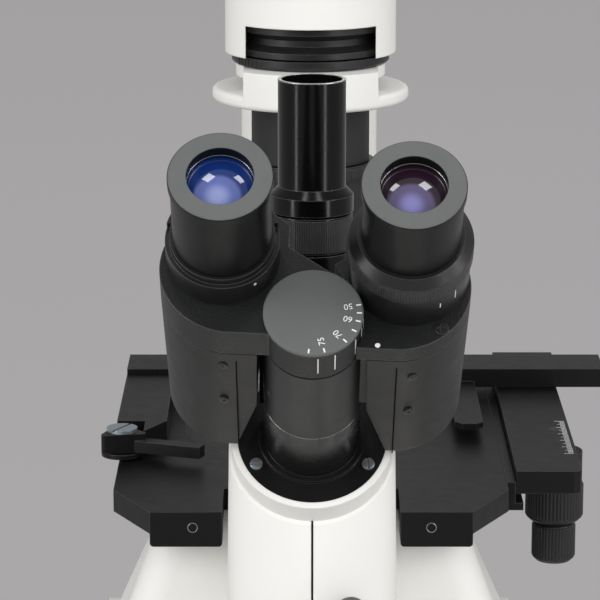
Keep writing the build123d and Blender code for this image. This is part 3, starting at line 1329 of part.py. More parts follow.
with BuildPart() as pivot_screw:
    head_z = hub_z + FINGER_HUB_H + RUN
    with BuildSketch(Plane.XY.offset(HOLDER_Z)):
        with Locations((FINGER_PIVOT_X, pivot_y)):
            Circle(PIVOT_SCREW_R)
    extrude(amount=head_z - HOLDER_Z)
    with BuildSketch(Plane.XY.offset(head_z)):
        with Locations((FINGER_PIVOT_X, pivot_y)):
            Circle(PIVOT_HEAD_R)
    extrude(amount=PIVOT_HEAD_H)
    with BuildSketch(Plane.XY.offset(head_z + PIVOT_HEAD_H)):
        with Locations(Location((FINGER_PIVOT_X, pivot_y, 0), (0, 0, PIVOT_SLOT_TURN))):
            Rectangle(2 * PIVOT_HEAD_R, PIVOT_SLOT_W)
    extrude(amount=-PIVOT_HEAD_H / 2, mode=Mode.SUBTRACT)
finish(pivot_screw, "pivot_screw")

drive_y = AXIS_Y - DRIVE_AHEAD
drive_axis = Axis((DRIVE_X, drive_y, 0), (0, 0, 1))
drive_foot = carriage_z - DRIVE_HANG
y_knob_low = drive_foot - GAP - DRIVE_KNOB_H
with BuildPart() as y_drive_knob:
    y_outline = (
        (DRIVE_X + DRIVE_CORE_R + RUN, y_knob_low),
        (DRIVE_X + Y_KNOB_R - KNOB_EDGE, y_knob_low),
        (DRIVE_X + Y_KNOB_R, y_knob_low + KNOB_EDGE),
        (DRIVE_X + Y_KNOB_R, y_knob_low + DRIVE_KNOB_H - KNOB_EDGE),
        (DRIVE_X + Y_KNOB_R - KNOB_EDGE, y_knob_low + DRIVE_KNOB_H),
        (DRIVE_X + DRIVE_SHAFT_R, y_knob_low + DRIVE_KNOB_H),
        (DRIVE_X + DRIVE_SHAFT_R, carriage_z + CARRIAGE_T),
        (DRIVE_X + DRIVE_CORE_R + RUN, carriage_z + CARRIAGE_T),
    )
    revolve(upright_profile(drive_y, y_outline), axis=drive_axis)
finish(y_drive_knob, "y_drive_knob")

with BuildPart() as x_drive_knob:
    x_knob_top = y_knob_low - GAP
    x_knob_low = x_knob_top - DRIVE_KNOB_H
    x_outline = (
        (DRIVE_X, x_knob_low),
        (DRIVE_X + X_KNOB_R - KNOB_EDGE, x_knob_low),
        (DRIVE_X + X_KNOB_R, x_knob_low + KNOB_EDGE),
        (DRIVE_X + X_KNOB_R, x_knob_top - KNOB_EDGE),
        (DRIVE_X + X_KNOB_R - KNOB_EDGE, x_knob_top),
        (DRIVE_X + DRIVE_CORE_R, x_knob_top),
        (DRIVE_X + DRIVE_CORE_R, carriage_z + CARRIAGE_T),
        (DRIVE_X, carriage_z + CARRIAGE_T),
    )
    revolve(upright_profile(drive_y, x_outline), axis=drive_axis)
finish(x_drive_knob, "x_drive_knob")


# Focus drive: hollow shaft with its pinion, knobs on both sides, fine shaft inside, tension ring
def tooth_half_angle(radius):
    """Half the angle that a pinion tooth spans at one radius, from the involute of its base circle."""
    def involute(angle):
        return tan(angle) - angle

    base_r = PITCH_R * cos(radians(PRESSURE))
    at_pitch = pi / (2 * PINION_TEETH) - GEAR_BACKLASH / (4 * PITCH_R)
    return at_pitch + involute(radians(PRESSURE)) - involute(acos(min(1.0, base_r / radius)))


pinion_root = PITCH_R - GEAR_DEDENDUM * GEAR_MODULE
pinion_tip = PITCH_R + GEAR_ADDENDUM * GEAR_MODULE
flank_radii = (pinion_root, PITCH_R * cos(radians(PRESSURE)), PITCH_R, (PITCH_R + pinion_tip) / 2, pinion_tip)
falling = [(r * cos(tooth_half_angle(r)), -r * sin(tooth_half_angle(r))) for r in flank_radii]
rising = [(x, -y) for x, y in reversed(falling)]
with BuildPart() as focus_shaft:
    with BuildSketch(Plane.YZ.offset(-PINION_W / 2)) as pinion:
        with Locations((SHAFT_Y, SHAFT_Z)):
            Circle(pinion_root)
            with PolarLocations(0, PINION_TEETH, start_angle=180):
                Polygon((0, 0), *falling, *rising, align=None)
    extrude(amount=PINION_W)
    with BuildSketch(Plane.YZ.offset(-SPIGOT_X - COARSE_L)):
        with Locations((SHAFT_Y, SHAFT_Z)):
            Circle(SHAFT_R)
    extrude(amount=2 * (SPIGOT_X + COARSE_L))
    with BuildSketch(Plane.YZ.offset(-SPIGOT_X - COARSE_L)):
        with Locations((SHAFT_Y, SHAFT_Z)):
            Circle(FINE_SHAFT_R + RUN)
    extrude(amount=2 * (SPIGOT_X + COARSE_L), mode=Mode.SUBTRACT)
finish(focus_shaft, "focus_shaft")

with BuildPart() as coarse_knobs:
    for side in (-1, 1):
        inner = side * (SPIGOT_X + GAP)
        outer = side * (SPIGOT_X + COARSE_L)
        rim = side * KNOB_EDGE
        knob_outline = (
            (inner, SHAFT_R),
            (inner, COARSE_R - KNOB_EDGE),
            (inner + rim, COARSE_R),
            (outer - rim, COARSE_R),
            (outer, COARSE_R - KNOB_EDGE),
            (outer, COARSE_DISH_R),
            (outer - 2 * rim, COARSE_DISH_R - KNOB_EDGE),
            (outer - 2 * rim, SHAFT_R),
        )
        revolve(across_profile(SHAFT_Y, SHAFT_Z, knob_outline), axis=shaft_axis)
finish(coarse_knobs, "coarse_knobs")

with BuildPart() as fine_knobs:
    for side in (-1, 1):
        inner = side * (SPIGOT_X + COARSE_L + GAP)
        outer = inner + side * FINE_L
        rim = side * KNOB_EDGE
        fine_outline = (
            (0, 0),
            (0, FINE_SHAFT_R),
            (inner, FINE_SHAFT_R),
            (inner, FINE_R),
            (outer - rim, FINE_R),
            (outer, FINE_R - KNOB_EDGE),
            (outer, 0),
        )
        revolve(across_profile(SHAFT_Y, SHAFT_Z, fine_outline), axis=shaft_axis)
finish(fine_knobs, "fine_knobs")

with BuildPart() as tension_ring:
    with BuildSketch(Plane.YZ.offset(BOSS_X + GAP)):
        with Locations((SHAFT_Y, SHAFT_Z)):
            Circle(TENSION_R)
            Circle(SPIGOT_R + RUN, mode=Mode.SUBTRACT)
    extrude(amount=SPIGOT_X - BOSS_X - 2 * GAP)
    chamfer(tension_ring.edges().filter_by(GeomType.CIRCLE).sort_by(SortBy.LENGTH)[-2:], KNOB_EDGE / 2)
finish(tension_ring, "tension_ring")


# Nosepiece: carrier on its vertical slide, rack, turret and objectives
def seat_plane(seat):
    """The face an objective screws down on: it leans so that the front seat faces straight up."""
    turn = 2 * pi * seat / SEAT_COUNT
    outward = turret_plane.x_dir * sin(turn) - turret_plane.y_dir * cos(turn)
    around = turret_plane.x_dir * cos(turn) + turret_plane.y_dir * sin(turn)
    up = TURRET_AXIS * cos(TURRET_TILT) + outward * sin(TURRET_TILT)
    return Plane(TURRET_CENTRE + outward * SEAT_PITCH_R, x_dir=around, z_dir=up)


turret_plane = Plane(TURRET_CENTRE, x_dir=(1, 0, 0), z_dir=TURRET_AXIS)
turret_axis = Axis(TURRET_CENTRE, TURRET_AXIS)
turret_side = Plane(TURRET_CENTRE, x_dir=(1, 0, 0), z_dir=-turret_plane.y_dir)
crown = SEAT_PITCH_R * tan(TURRET_TILT)
rim_drop = (TURRET_R - SEAT_PITCH_R) * tan(TURRET_TILT)
slide_front_y = AXIS_Y + BAY_REAR - SLIDE_FIT - SLIDE_T
disc_low = -TURRET_DEPTH - RUN - NOSE_DISC_T
with BuildPart() as nosepiece_carrier:
    with BuildSketch(turret_plane.offset(disc_low)):
        Circle(TURRET_R - NOSE_DISC_INSET)
    extrude(amount=NOSE_DISC_T)
    arm_low = SLIDE_LOW + NOSE_ARM_LIFT
    with BuildSketch(Plane.XY.offset(arm_low)):
        with Locations((0, slide_front_y + SLIDE_T / 2)):
            Rectangle(
                NOSE_ARM_W,
                slide_front_y + SLIDE_T / 2 - TURRET_CENTRE.Y,
                align=(Align.CENTER, Align.MAX),
            )
    extrude(amount=SEAT_Z - arm_low)
    with BuildSketch(turret_plane.offset(disc_low + NOSE_DISC_T)):
        Circle(TURRET_R + NOSE_DISC_T)
    extrude(amount=TURRET_R, mode=Mode.SUBTRACT)
    with BuildSketch(turret_plane.offset(disc_low)):
        Circle(TURRET_BORE_R)
    extrude(amount=crown - disc_low)
    with BuildSketch(Plane.XY.offset(SLIDE_LOW)):
        with Locations((0, slide_front_y)):
            Rectangle(SLIDE_W, SLIDE_T, align=(Align.CENTER, Align.MIN))
            Rectangle(KEY_W, SLIDE_T + KEY_D, align=(Align.CENTER, Align.MIN))
    extrude(amount=SLIDE_H)
    with BuildSketch(Plane.XY.offset(RACK_LOW_Z)):
        with Locations((0, KEY_BACK_Y)):
            Rectangle(KEY_W, KEY_D, align=(Align.CENTER, Align.MAX))
    extrude(amount=SLIDE_LOW - RACK_LOW_Z)
    with BuildSketch(Plane.XY.offset(MIRROR_Z)):
        with Locations((0, AXIS_Y)):
            Circle(SEAT_HOLE_R)
    extrude(amount=STAGE_TOP_Z - MIRROR_Z, mode=Mode.SUBTRACT)
finish(nosepiece_carrier, "nosepiece_carrier")

with BuildPart() as focus_rack:
    tooth_pitch = pi * GEAR_MODULE
    rack_tip_y = RACK_PITCH_Y + GEAR_ADDENDUM * GEAR_MODULE
    rack_root_y = RACK_PITCH_Y - GEAR_DEDENDUM * GEAR_MODULE
    flank = tan(radians(PRESSURE))
    tip_half = tooth_pitch / 4 - GEAR_BACKLASH / 4 - GEAR_ADDENDUM * GEAR_MODULE * flank
    root_half = tooth_pitch / 4 - GEAR_BACKLASH / 4 + GEAR_DEDENDUM * GEAR_MODULE * flank
    with BuildSketch(Plane.YZ.offset(-PINION_W / 2)):
        with Locations((KEY_BACK_Y, SHAFT_Z)):
            Rectangle(rack_root_y - KEY_BACK_Y, 2 * RACK_HALF, align=(Align.MIN, Align.CENTER))
        with Locations((rack_root_y, SHAFT_Z)):
            with GridLocations(1, tooth_pitch, 1, RACK_TEETH):
                Polygon(
                    (0, -root_half),
                    (rack_tip_y - rack_root_y, -tip_half),
                    (rack_tip_y - rack_root_y, tip_half),
                    (0, root_half),
                    align=None,
                )
    extrude(amount=PINION_W)
finish(focus_rack, "focus_rack")

with BuildPart() as turret:
    turret_outline = (
        (TURRET_BORE_R + RUN, -TURRET_DEPTH),
        (TURRET_R, -TURRET_DEPTH),
        (TURRET_R, SEAT_SINK - rim_drop),
        (TURRET_BORE_R + RUN, SEAT_SINK + (SEAT_PITCH_R - TURRET_BORE_R) * tan(TURRET_TILT)),
    )
    revolve(turned_face(turret_side, turret_outline), axis=turret_axis)
    chamfer(turret.edges().filter_by(GeomType.CIRCLE).sort_by(SortBy.LENGTH)[-2:], TURRET_EDGE_R / 2)
    for seat in range(SEAT_COUNT):
        with BuildSketch(seat_plane(seat)):
            Circle(SEAT_HOLE_R)
        extrude(amount=2 * TURRET_DEPTH, both=True, mode=Mode.SUBTRACT)
        with BuildSketch(seat_plane(seat)):
            Circle(OBJECTIVE_R)
        extrude(amount=TURRET_DEPTH, mode=Mode.SUBTRACT)
finish(turret, "turret")

for seat in range(SEAT_COUNT):
    base_plane = seat_plane(seat)
    length = OBJECTIVE_LENGTHS[SEAT_COUNT - 1 - seat]
    tip = OBJECTIVE_TIP_R[SEAT_COUNT - 1 - seat]
    with BuildPart() as objective:
        objective_outline = (
            (OBJECTIVE_BORE_R, -OBJECTIVE_FOOT_H),
            (SEAT_HOLE_R, -OBJECTIVE_FOOT_H),
            (SEAT_HOLE_R, 0),
            (OBJECTIVE_R, 0),
            (OBJECTIVE_R, length - OBJECTIVE_CONE),
            (tip, length),
            (OBJECTIVE_BORE_R, length),
        )
        side_plane = Plane(base_plane.origin, x_dir=base_plane.x_dir, z_dir=-base_plane.y_dir)
        revolve(turned_face(side_plane, objective_outline), axis=Axis(side_plane.origin, side_plane.y_dir))
    finish(objective, f"objective_{OBJECTIVE_NAMES[SEAT_COUNT - 1 - seat]}")


# Light-path mirror, mains inlet, rocker and brightness knob
with BuildPart() as path_mirror:
    with BuildSketch(mirror_plane):
        Rectangle(MIRROR_W, MIRROR_L)
    extrude(amount=-MIRROR_T)
finish(path_mirror, "path_mirror")

with BuildPart() as mains_inlet:
    inlet_plane = Plane((INLET_X, rear_face_y, PANEL_Z), x_dir=(-1, 0, 0), z_dir=(0, 1, 0))
    with BuildSketch(inlet_plane):
        Rectangle(INLET_W, INLET_H)
    extrude(amount=-INLET_L)
    with BuildSketch(inlet_plane) as inlet_flange:
        Rectangle(INLET_FLANGE_W, INLET_FLANGE_H)
        fillet(inlet_flange.vertices(), INLET_WALL)
    extrude(amount=INLET_FLANGE)
    with BuildSketch(inlet_plane.offset(INLET_FLANGE)) as mouth:
        Rectangle(INLET_W - 2 * INLET_WALL, INLET_H - 2 * INLET_WALL)
        chamfer(mouth.vertices().group_by(Axis.Y)[-1], 2 * INLET_WALL)
    extrude(amount=INLET_WALL - INLET_L, mode=Mode.SUBTRACT)
    with BuildSketch(inlet_plane.offset(INLET_WALL - INLET_L)):
        for pin_x, pin_y in ((-PIN_PITCH, -1), (0, 1), (PIN_PITCH, -1)):
            with Locations((pin_x, pin_y * PIN_H / 2)):
                Rectangle(PIN_W, PIN_H)
    extrude(amount=PIN_L)
finish(mains_inlet, "mains_inlet")

with BuildPart() as power_rocker:
    axle_y = rear_face_y - ROCKER_AXLE_IN
    with BuildSketch(Plane.YZ.offset(ROCKER_X - ROCKER_W / 2)):
        with Locations((axle_y, PANEL_Z)):
            Circle(ROCKER_R - ROCKER_FIT)
            with Locations(Location((ROCKER_AXLE_IN + 1, 0, 0), (0, 0, ROCKER_THROW / 2))):
                Rectangle(ROCKER_R, 4 * ROCKER_R, align=(Align.MIN, Align.CENTER), mode=Mode.SUBTRACT)
    extrude(amount=ROCKER_W)
finish(power_rocker, "power_rocker")

with BuildPart() as brightness_knob:
    knob_face = BASE_W / 2 + GAP
    shaft_end = BASE_W / 2 - 2 * CAVITY_WALL
    dimmer_outline = (
        (shaft_end, 0),
        (shaft_end, DIMMER_SHAFT_R),
        (knob_face, DIMMER_SHAFT_R),
        (knob_face, DIMMER_R),
        (knob_face + DIMMER_L - KNOB_EDGE, DIMMER_R - KNOB_EDGE / 2),
        (knob_face + DIMMER_L, DIMMER_R - KNOB_EDGE),
        (knob_face + DIMMER_L, 0),
    )
    dimmer_axis = Axis((0, AXIS_Y - DIMMER_AHEAD, PANEL_Z), (1, 0, 0))
    revolve(across_profile(AXIS_Y - DIMMER_AHEAD, PANEL_Z, dimmer_outline), axis=dimmer_axis)
finish(brightness_knob, "brightness_knob")
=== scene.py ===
import logging
import math
from dataclasses import dataclass, field
from enum import Enum
from typing import Any, Callable, Dict, Mapping, Optional, Sequence, Tuple, Union

import bmesh
import bpy
from mathutils import Euler, Matrix, Vector


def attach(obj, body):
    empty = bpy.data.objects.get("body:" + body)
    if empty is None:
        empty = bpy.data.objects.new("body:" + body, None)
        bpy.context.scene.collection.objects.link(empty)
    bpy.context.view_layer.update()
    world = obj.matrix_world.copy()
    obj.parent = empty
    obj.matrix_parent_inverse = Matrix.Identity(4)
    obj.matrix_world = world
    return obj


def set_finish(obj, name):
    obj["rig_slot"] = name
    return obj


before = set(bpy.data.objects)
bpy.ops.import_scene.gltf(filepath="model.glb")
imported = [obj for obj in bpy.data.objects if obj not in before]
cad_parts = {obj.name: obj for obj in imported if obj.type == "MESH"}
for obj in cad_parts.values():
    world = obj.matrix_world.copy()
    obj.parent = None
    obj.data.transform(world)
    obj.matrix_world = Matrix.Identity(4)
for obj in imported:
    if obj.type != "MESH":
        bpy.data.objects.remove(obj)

LOG = logging.getLogger("microscope")
MM = 0.001
RIGHT = Vector((1, 0, 0))
BACK = Vector((0, 1, 0))
UP = Vector((0, 0, 1))
Colour = Tuple[float, float, float, float]
Triple = Tuple[float, float, float]
Pair = Tuple[float, float]
Pick = Callable[[Vector, Vector], bool]
Piece = bpy.types.Object
PRINT_LIFT = 0.02
PRINT_DEPTH = 0.03
CAPITAL_SHARE = 0.7
SHARP_DEG = 40.0


def straight(level: int) -> float:
    """Turns a screen level, 0 to 255, into a linear one."""
    share = level / 255.0
    return share / 12.92 if share <= 0.04045 else ((share + 0.055) / 1.055) ** 2.4


def tone(red: int, green: int, blue: int) -> Colour:
    """Turns a screen colour into the linear colour that a shader takes."""
    return straight(red), straight(green), straight(blue), 1.0


def grey(level: int) -> Colour:
    """Returns the linear colour of an even grey."""
    return tone(level, level, level)


def shaded(colour: Colour, share: float) -> Colour:
    """Returns a colour made darker or lighter by a share."""
    red, green, blue = (min(1.0, channel * share) for channel in colour[:3])
    return red, green, blue, 1.0


def math_method(operation: str, turned: bool = False) -> Callable[["Signal", Any], "Signal"]:
    """Makes one operator of a signal.

    Args:
        operation: The Math node's operation.
        turned: Whether the signal stands on the right.

    Returns:
        The method.
    """
    def method(signal: "Signal", other: Any) -> "Signal":
        """Adds the Math node and returns its result."""
        first, second = (other, signal) if turned else (signal, other)
        return signal.recipe.maths(operation, first, second)

    return method


class Signal:
    """One value that runs from node to node in a finish, with the operators that the finishes use."""

    __add__ = math_method("ADD")
    __radd__ = math_method("ADD", turned=True)
    __sub__ = math_method("SUBTRACT")
    __rsub__ = math_method("SUBTRACT", turned=True)
    __mul__ = math_method("MULTIPLY")
    __rmul__ = math_method("MULTIPLY", turned=True)
    __gt__ = math_method("GREATER_THAN")

    def __init__(self, recipe: "Recipe", socket: bpy.types.NodeSocket) -> None:
        """Holds the recipe and the socket that the value leaves from."""
        self.recipe = recipe
        self.socket = socket


Amount = Union[Signal, float]


class Recipe:
    """The node tree of one finish."""

    def __init__(self, name: str) -> None:
        """Starts a tree that holds nothing but the object coordinates.

        Args:
            name: The material's name.
        """
        self.material = bpy.data.materials.new(name)
        self.material.use_nodes = True
        self.tree = self.material.node_tree
        self.tree.nodes.clear()
        self.place = self.node("ShaderNodeTexCoord", {}, {}, "Object")

    def node(self, kind: str, settings: Mapping[str, Any], sockets: Mapping[Union[str, int], Any],
             leaves: Union[str, int] = 0) -> Signal:
        """Makes one node.

        Args:
            kind: The node's type.
            settings: Its settings, set before its sockets.
            sockets: Values or signals for its inputs, by name or number.
            leaves: The output that is handed on.

        Returns:
            The signal at that output, or at the first input of a node that ends the tree.
        """
        made = self.tree.nodes.new(kind)
        for key, setting in settings.items():
            setattr(made, key, setting)
        for key, given in sockets.items():
            if isinstance(given, Signal):
                self.tree.links.new(given.socket, made.inputs[key])
            else:
                made.inputs[key].default_value = given
        return Signal(self, made.outputs[leaves] if made.outputs else made.inputs[0])

    def maths(self, operation: str, first: Amount, second: Amount) -> Signal:
        """Makes a Math node of two values and returns its result."""
        return self.node("ShaderNodeMath", {"operation": operation}, {0: first, 1: second})

    def vector(self, operation: str, first: Any, second: Any, leaves: str = "Value") -> Signal:
        """Makes a Vector Math node of two vectors and returns its result."""
        return self.node("ShaderNodeVectorMath", {"operation": operation}, {0: first, 1: second}, leaves)

    def mix(self, share: Signal, low: Any, high: Any) -> Signal:
        """Mixes two colours by a share and returns the mixture."""
        return self.node("ShaderNodeMix", {"data_type": "RGBA"}, {0: share, 6: low, 7: high}, 2)

    def noise(self, scale: float, detail: float, place: Optional[Signal] = None) -> Signal:
        """Returns a cloudy value about one half, with its patches 1 / scale metres across."""
        sockets = {"Vector": place or self.place, "Scale": scale, "Detail": detail}
        return self.node("ShaderNodeTexNoise", {}, sockets)

    def rings(self, along: Signal, scale: float) -> Signal:
        """Returns the fine lines that a lathe leaves, one after another along an axis."""
        return self.noise(scale, 2.0, self.node("ShaderNodeCombineXYZ", {}, {"X": along}))

    def rounded(self, radius_mm: float) -> Signal:
        """Returns the normal of the surface with its edges rounded."""
        return self.node("ShaderNodeBevel", {"samples": 4}, {"Radius": radius_mm * MM})

    def close(self, shader: Signal) -> bpy.types.Material:
        """Joins the shader to the output and returns the material."""
        self.node("ShaderNodeOutputMaterial", {}, {"Surface": shader})
        return self.material


class Skin(Enum):
    """What a surface's fine relief looks like."""

    SPRAYED = "sprayed"
    CRINKLED = "crinkled"
    BLASTED = "blasted"
    MOULDED = "moulded"
    TURNED = "turned"
    POLISHED = "polished"


GRAIN_SCALE = {Skin.SPRAYED: 420.0, Skin.BLASTED: 2600.0, Skin.MOULDED: 1500.0, Skin.POLISHED: 300.0}
CRINKLE_SCALE = 950.0
CRINKLE_DUST_SCALE = 2100.0
LATHE_SCALE = 2600.0
CLOUD_SCALE = 24.0
SMEAR_SCALE = 170.0


@dataclass(frozen=True)
class Surface:
    """What every finish has: its name, the record's slot that it dresses and a material made once."""

    name: str
    slot: str

    def material(self) -> bpy.types.Material:
        """Returns the material, made at the first call and found again later."""
        return bpy.data.materials.get(self.name) or self.made()

    def made(self) -> bpy.types.Material:
        """Makes the material and returns it."""
        recipe = Recipe(self.name)
        return recipe.close(self.shader(recipe))

    def shader(self, recipe: Recipe) -> Signal:
        """Draws the surface, which each kind of finish does in its own way."""
        raise NotImplementedError


@dataclass(frozen=True)
class Finish(Surface):
    """A paint, metal or plastic with its colour, gloss, relief and lighter edges, partly wear and partly a
    painted highlight.
    """

    colour: Colour
    worn: Colour
    roughness: float
    skin: Skin
    metallic: float = 0.0
    relief: float = 0.1
    axis: Triple = (0.0, 0.0, 1.0)
    edge_mm: float = 0.5
    mottle: float = 0.12
    specular: float = 0.5

    def grain(self, recipe: Recipe) -> Signal:
        """Draws the fine relief.

        Args:
            recipe: The tree to draw in.

        Returns:
            A height from about nought to one.
        """
        if self.skin is Skin.CRINKLED:
            cells = recipe.node("ShaderNodeTexVoronoi", {"feature": "SMOOTH_F1"},
                                {"Vector": recipe.place, "Scale": CRINKLE_SCALE, "Smoothness": 0.6})
            return cells * 0.7 + recipe.noise(CRINKLE_DUST_SCALE, 3.0) * 0.5
        if self.skin is Skin.TURNED:
            return recipe.rings(recipe.vector("DOT_PRODUCT", recipe.place, self.axis), LATHE_SCALE)
        return recipe.noise(GRAIN_SCALE[self.skin], 4.0)

    def shader(self, recipe: Recipe) -> Signal:
        """Draws mottled paint, lighter where an edge is near: partly wear, partly a painted highlight along
        the edge.

        Args:
            recipe: The tree to draw in.

        Returns:
            The shader.
        """
        cloud = recipe.noise(CLOUD_SCALE, 5.0)
        smear = recipe.noise(SMEAR_SCALE, 3.0)
        rounded = recipe.rounded(self.edge_mm)
        facing = recipe.node("ShaderNodeNewGeometry", {}, {}, "Normal")
        turn = recipe.vector("DOT_PRODUCT", rounded, facing)
        # Edge mask: wear, plus a painted highlight that lightens every edge.
        wear_and_highlight_mask = recipe.node("ShaderNodeMapRange", {}, {
            "Value": (1.0 - turn) * (smear + 0.25), "From Min": 0.015, "From Max": 0.17, "To Max": 0.8})
        dim, lit = (shaded(self.colour, 1.0 + swing) for swing in (-self.mottle, self.mottle))
        paint = recipe.mix(cloud, dim, lit)
        gloss = self.roughness + (smear - 0.5) * 0.16 + (cloud - 0.5) * 0.08
        height = self.grain(recipe)
        lifted = recipe.node("ShaderNodeBump", {}, {
            "Strength": self.relief, "Distance": 0.0004, "Height": height, "Normal": rounded})
        return recipe.node("ShaderNodeBsdfPrincipled", {}, {
            "Base Color": recipe.mix(wear_and_highlight_mask, paint, self.worn),
            "Roughness": gloss - wear_and_highlight_mask * 0.08,
            "Metallic": self.metallic,
            "Specular IOR Level": self.specular,
            "Normal": lifted,
        })


@dataclass(frozen=True)
class FacedFinish(Surface):
    """A black turned barrel whose end face is bare matt metal."""

    barrel: Colour
    face: Colour
    origin_mm: Triple
    axis: Triple
    face_mm: float

    def shader(self, recipe: Recipe) -> Signal:
        """Draws lathe lines on the barrel and a speckled face.

        Args:
            recipe: The tree to draw in.

        Returns:
            The shader.
        """
        foot = tuple(value * MM for value in self.origin_mm)
        from_foot = recipe.vector("SUBTRACT", recipe.place, foot, "Vector")
        along = recipe.vector("DOT_PRODUCT", from_foot, self.axis)
        end = along > self.face_mm * MM
        speckle = recipe.noise(1900.0, 4.0)
        smear = recipe.noise(140.0, 3.0)
        height = recipe.rings(along, 2400.0) * (1.0 - end) + speckle * end
        lifted = recipe.node("ShaderNodeBump", {}, {
            "Strength": 0.08, "Distance": 0.0003, "Height": height, "Normal": recipe.rounded(0.4)})
        metal = recipe.mix(smear, shaded(self.face, 0.86), self.face)
        return recipe.node("ShaderNodeBsdfPrincipled", {}, {
            "Base Color": recipe.mix(end, self.barrel, metal),
            "Roughness": 0.34 + end * 0.3 + (smear - 0.5) * 0.12,
            "Specular IOR Level": 0.25,
            "Normal": lifted,
        })


@dataclass(frozen=True)
class CoatedGlass(Surface):
    """A lens with a coloured coating at its rim and a lighter patch of painted reflection off its middle."""

    rim: Colour
    heart: Colour
    core: Colour
    centre_mm: Triple
    reach_mm: float
    heart_edge: Pair = (0.62, 0.78)
    core_edge: Pair = (0.1, 0.52)

    def shader(self, recipe: Recipe) -> Signal:
        """Draws the coating's colour at the rim and the painted reflection's two colours inside it, one
        inside the other.

        Args:
            recipe: The tree to draw in.

        Returns:
            The shader.
        """
        away = recipe.vector("DISTANCE", recipe.place, tuple(value * MM for value in self.centre_mm))
        reach = self.reach_mm * MM
        # Coating colour outside, then the painted reflection fading in to its lighter core.
        outside, reflection_fade = (recipe.node("ShaderNodeMapRange", {"interpolation_type": "SMOOTHSTEP"}, {
            "Value": away, "From Min": near * reach, "From Max": far * reach})
            for near, far in (self.heart_edge, self.core_edge))
        film = recipe.noise(90.0, 2.0)
        return recipe.node("ShaderNodeBsdfPrincipled", {}, {
            "Base Color": recipe.mix(outside, recipe.mix(reflection_fade, self.core, self.heart), self.rim),
            "Roughness": 0.03 + film * 0.03,
            "IOR": 1.6,
            "Coat Weight": 0.6,
            "Coat Roughness": 0.02,
        })


@dataclass(frozen=True)
class ClearGlass(Surface):
    """Clear glass with the faint unevenness of a polished blank."""

    tint: Colour
    clear: Colour = (0.95, 0.97, 1.0, 1.0)

    def shader(self, recipe: Recipe) -> Signal:
        """Draws the glass.

        Args:
            recipe: The tree to draw in.

        Returns:
            The shader.
        """
        film = recipe.noise(120.0, 2.0)
        return recipe.node("ShaderNodeBsdfPrincipled", {}, {
            "Base Color": recipe.mix(film, self.tint, self.clear),
            "Roughness": 0.01 + film * 0.04,
            "IOR": 1.52,
            "Transmission Weight": 0.85,
        })


def band(name: str, paint: Colour, worn: Colour) -> Finish:
    """Returns the paint of one objective's coloured band."""
    return Finish(f"band_{name}", "black_satin", paint, worn, 0.35, Skin.SPRAYED, edge_mm=0.1)


HEAD_AXIS = (0.0, -math.sqrt(0.5), math.sqrt(0.5))
HEAD_FOOT = (0.0, -142.5, 251.8)

# Each finish's second colour is its lighter edge colour: partly wear, partly a painted highlight.
WHITE = Finish("enamel_white", "white_enamel", tone(233, 232, 228), tone(246, 246, 243), 0.52, Skin.SPRAYED,
               specular=0.35, relief=0.03, edge_mm=0.9, mottle=0.02)
CHARCOAL = Finish("satin_charcoal", "charcoal_satin", tone(21, 21, 20), tone(104, 104, 102), 0.46,
                  Skin.BLASTED, relief=0.06, edge_mm=0.6)
CRINKLE = Finish("crinkle_black", "black_satin", tone(22, 23, 23), tone(104, 105, 104), 0.46, Skin.CRINKLED,
                 relief=0.35, edge_mm=0.7)
GLOSS = Finish("gloss_black", "black_satin", grey(20), grey(60), 0.27, Skin.POLISHED,
               relief=0.02, edge_mm=0.4)
SLEEVE = Finish("sleeve_black", "black_satin", tone(30, 31, 30), grey(80), 0.4, Skin.BLASTED,
                relief=0.04, edge_mm=0.4)
# Near-black for the covers' seams, which are real dark joints, and for painted shade beside the sleeve and
# inside the lug holes.
SEAM_AND_SHADE = Finish("seam_and_shade_black", "black_satin", grey(9), grey(14), 0.8, Skin.MOULDED,
                relief=0.02, edge_mm=0.1, specular=0.1)
SATIN = Finish("satin_black", "black_satin", grey(27), grey(95), 0.36, Skin.BLASTED, relief=0.05, edge_mm=0.4)
TURNED_UP = Finish("turned_black_upright", "black_satin", tone(8, 8, 9), grey(140), 0.17, Skin.TURNED,
                   relief=0.06, edge_mm=0.4, specular=0.28)
TURNED_HEAD = Finish("turned_black_head", "black_satin", grey(26), grey(105), 0.33, Skin.TURNED,
                     relief=0.1, axis=HEAD_AXIS, edge_mm=0.4)
MATT = Finish("matt_black", "black_satin", grey(31), grey(70), 0.58, Skin.BLASTED, relief=0.08)
DIAL = Finish("grey_of_dial", "dial_grey", tone(98, 101, 100), tone(140, 142, 140), 0.66, Skin.BLASTED,
              relief=0.08, edge_mm=0.4, specular=0.18)
STAGE = Finish("grey_of_stage", "stage_grey", grey(16), tone(92, 91, 91), 0.4, Skin.BLASTED,
               relief=0.06, edge_mm=0.6, specular=0.25)
ZINC = Finish("zinc_plate", "zinc_sheet", tone(165, 174, 180), tone(215, 220, 224), 0.34, Skin.BLASTED,
              metallic=0.85, relief=0.05, edge_mm=0.25)
STEEL = Finish("bright_steel", "steel", tone(176, 176, 174), grey(230), 0.28, Skin.BLASTED,
               metallic=1.0, relief=0.03, edge_mm=0.25)
CHROME = Finish("chrome_plate", "chrome", tone(214, 215, 216), grey(240), 0.1, Skin.POLISHED,
                metallic=1.0, relief=0.01, edge_mm=0.3, mottle=0.03)
MIRROR = Finish("front_mirror", "mirror", tone(235, 236, 238), grey(245), 0.03, Skin.POLISHED,
                metallic=1.0, relief=0.0, edge_mm=0.2, mottle=0.02)
CERAMIC = Finish("lamp_ceramic", "ceramic", tone(222, 216, 204), tone(238, 234, 226), 0.5, Skin.SPRAYED,
                 relief=0.08, edge_mm=0.4, mottle=0.04)
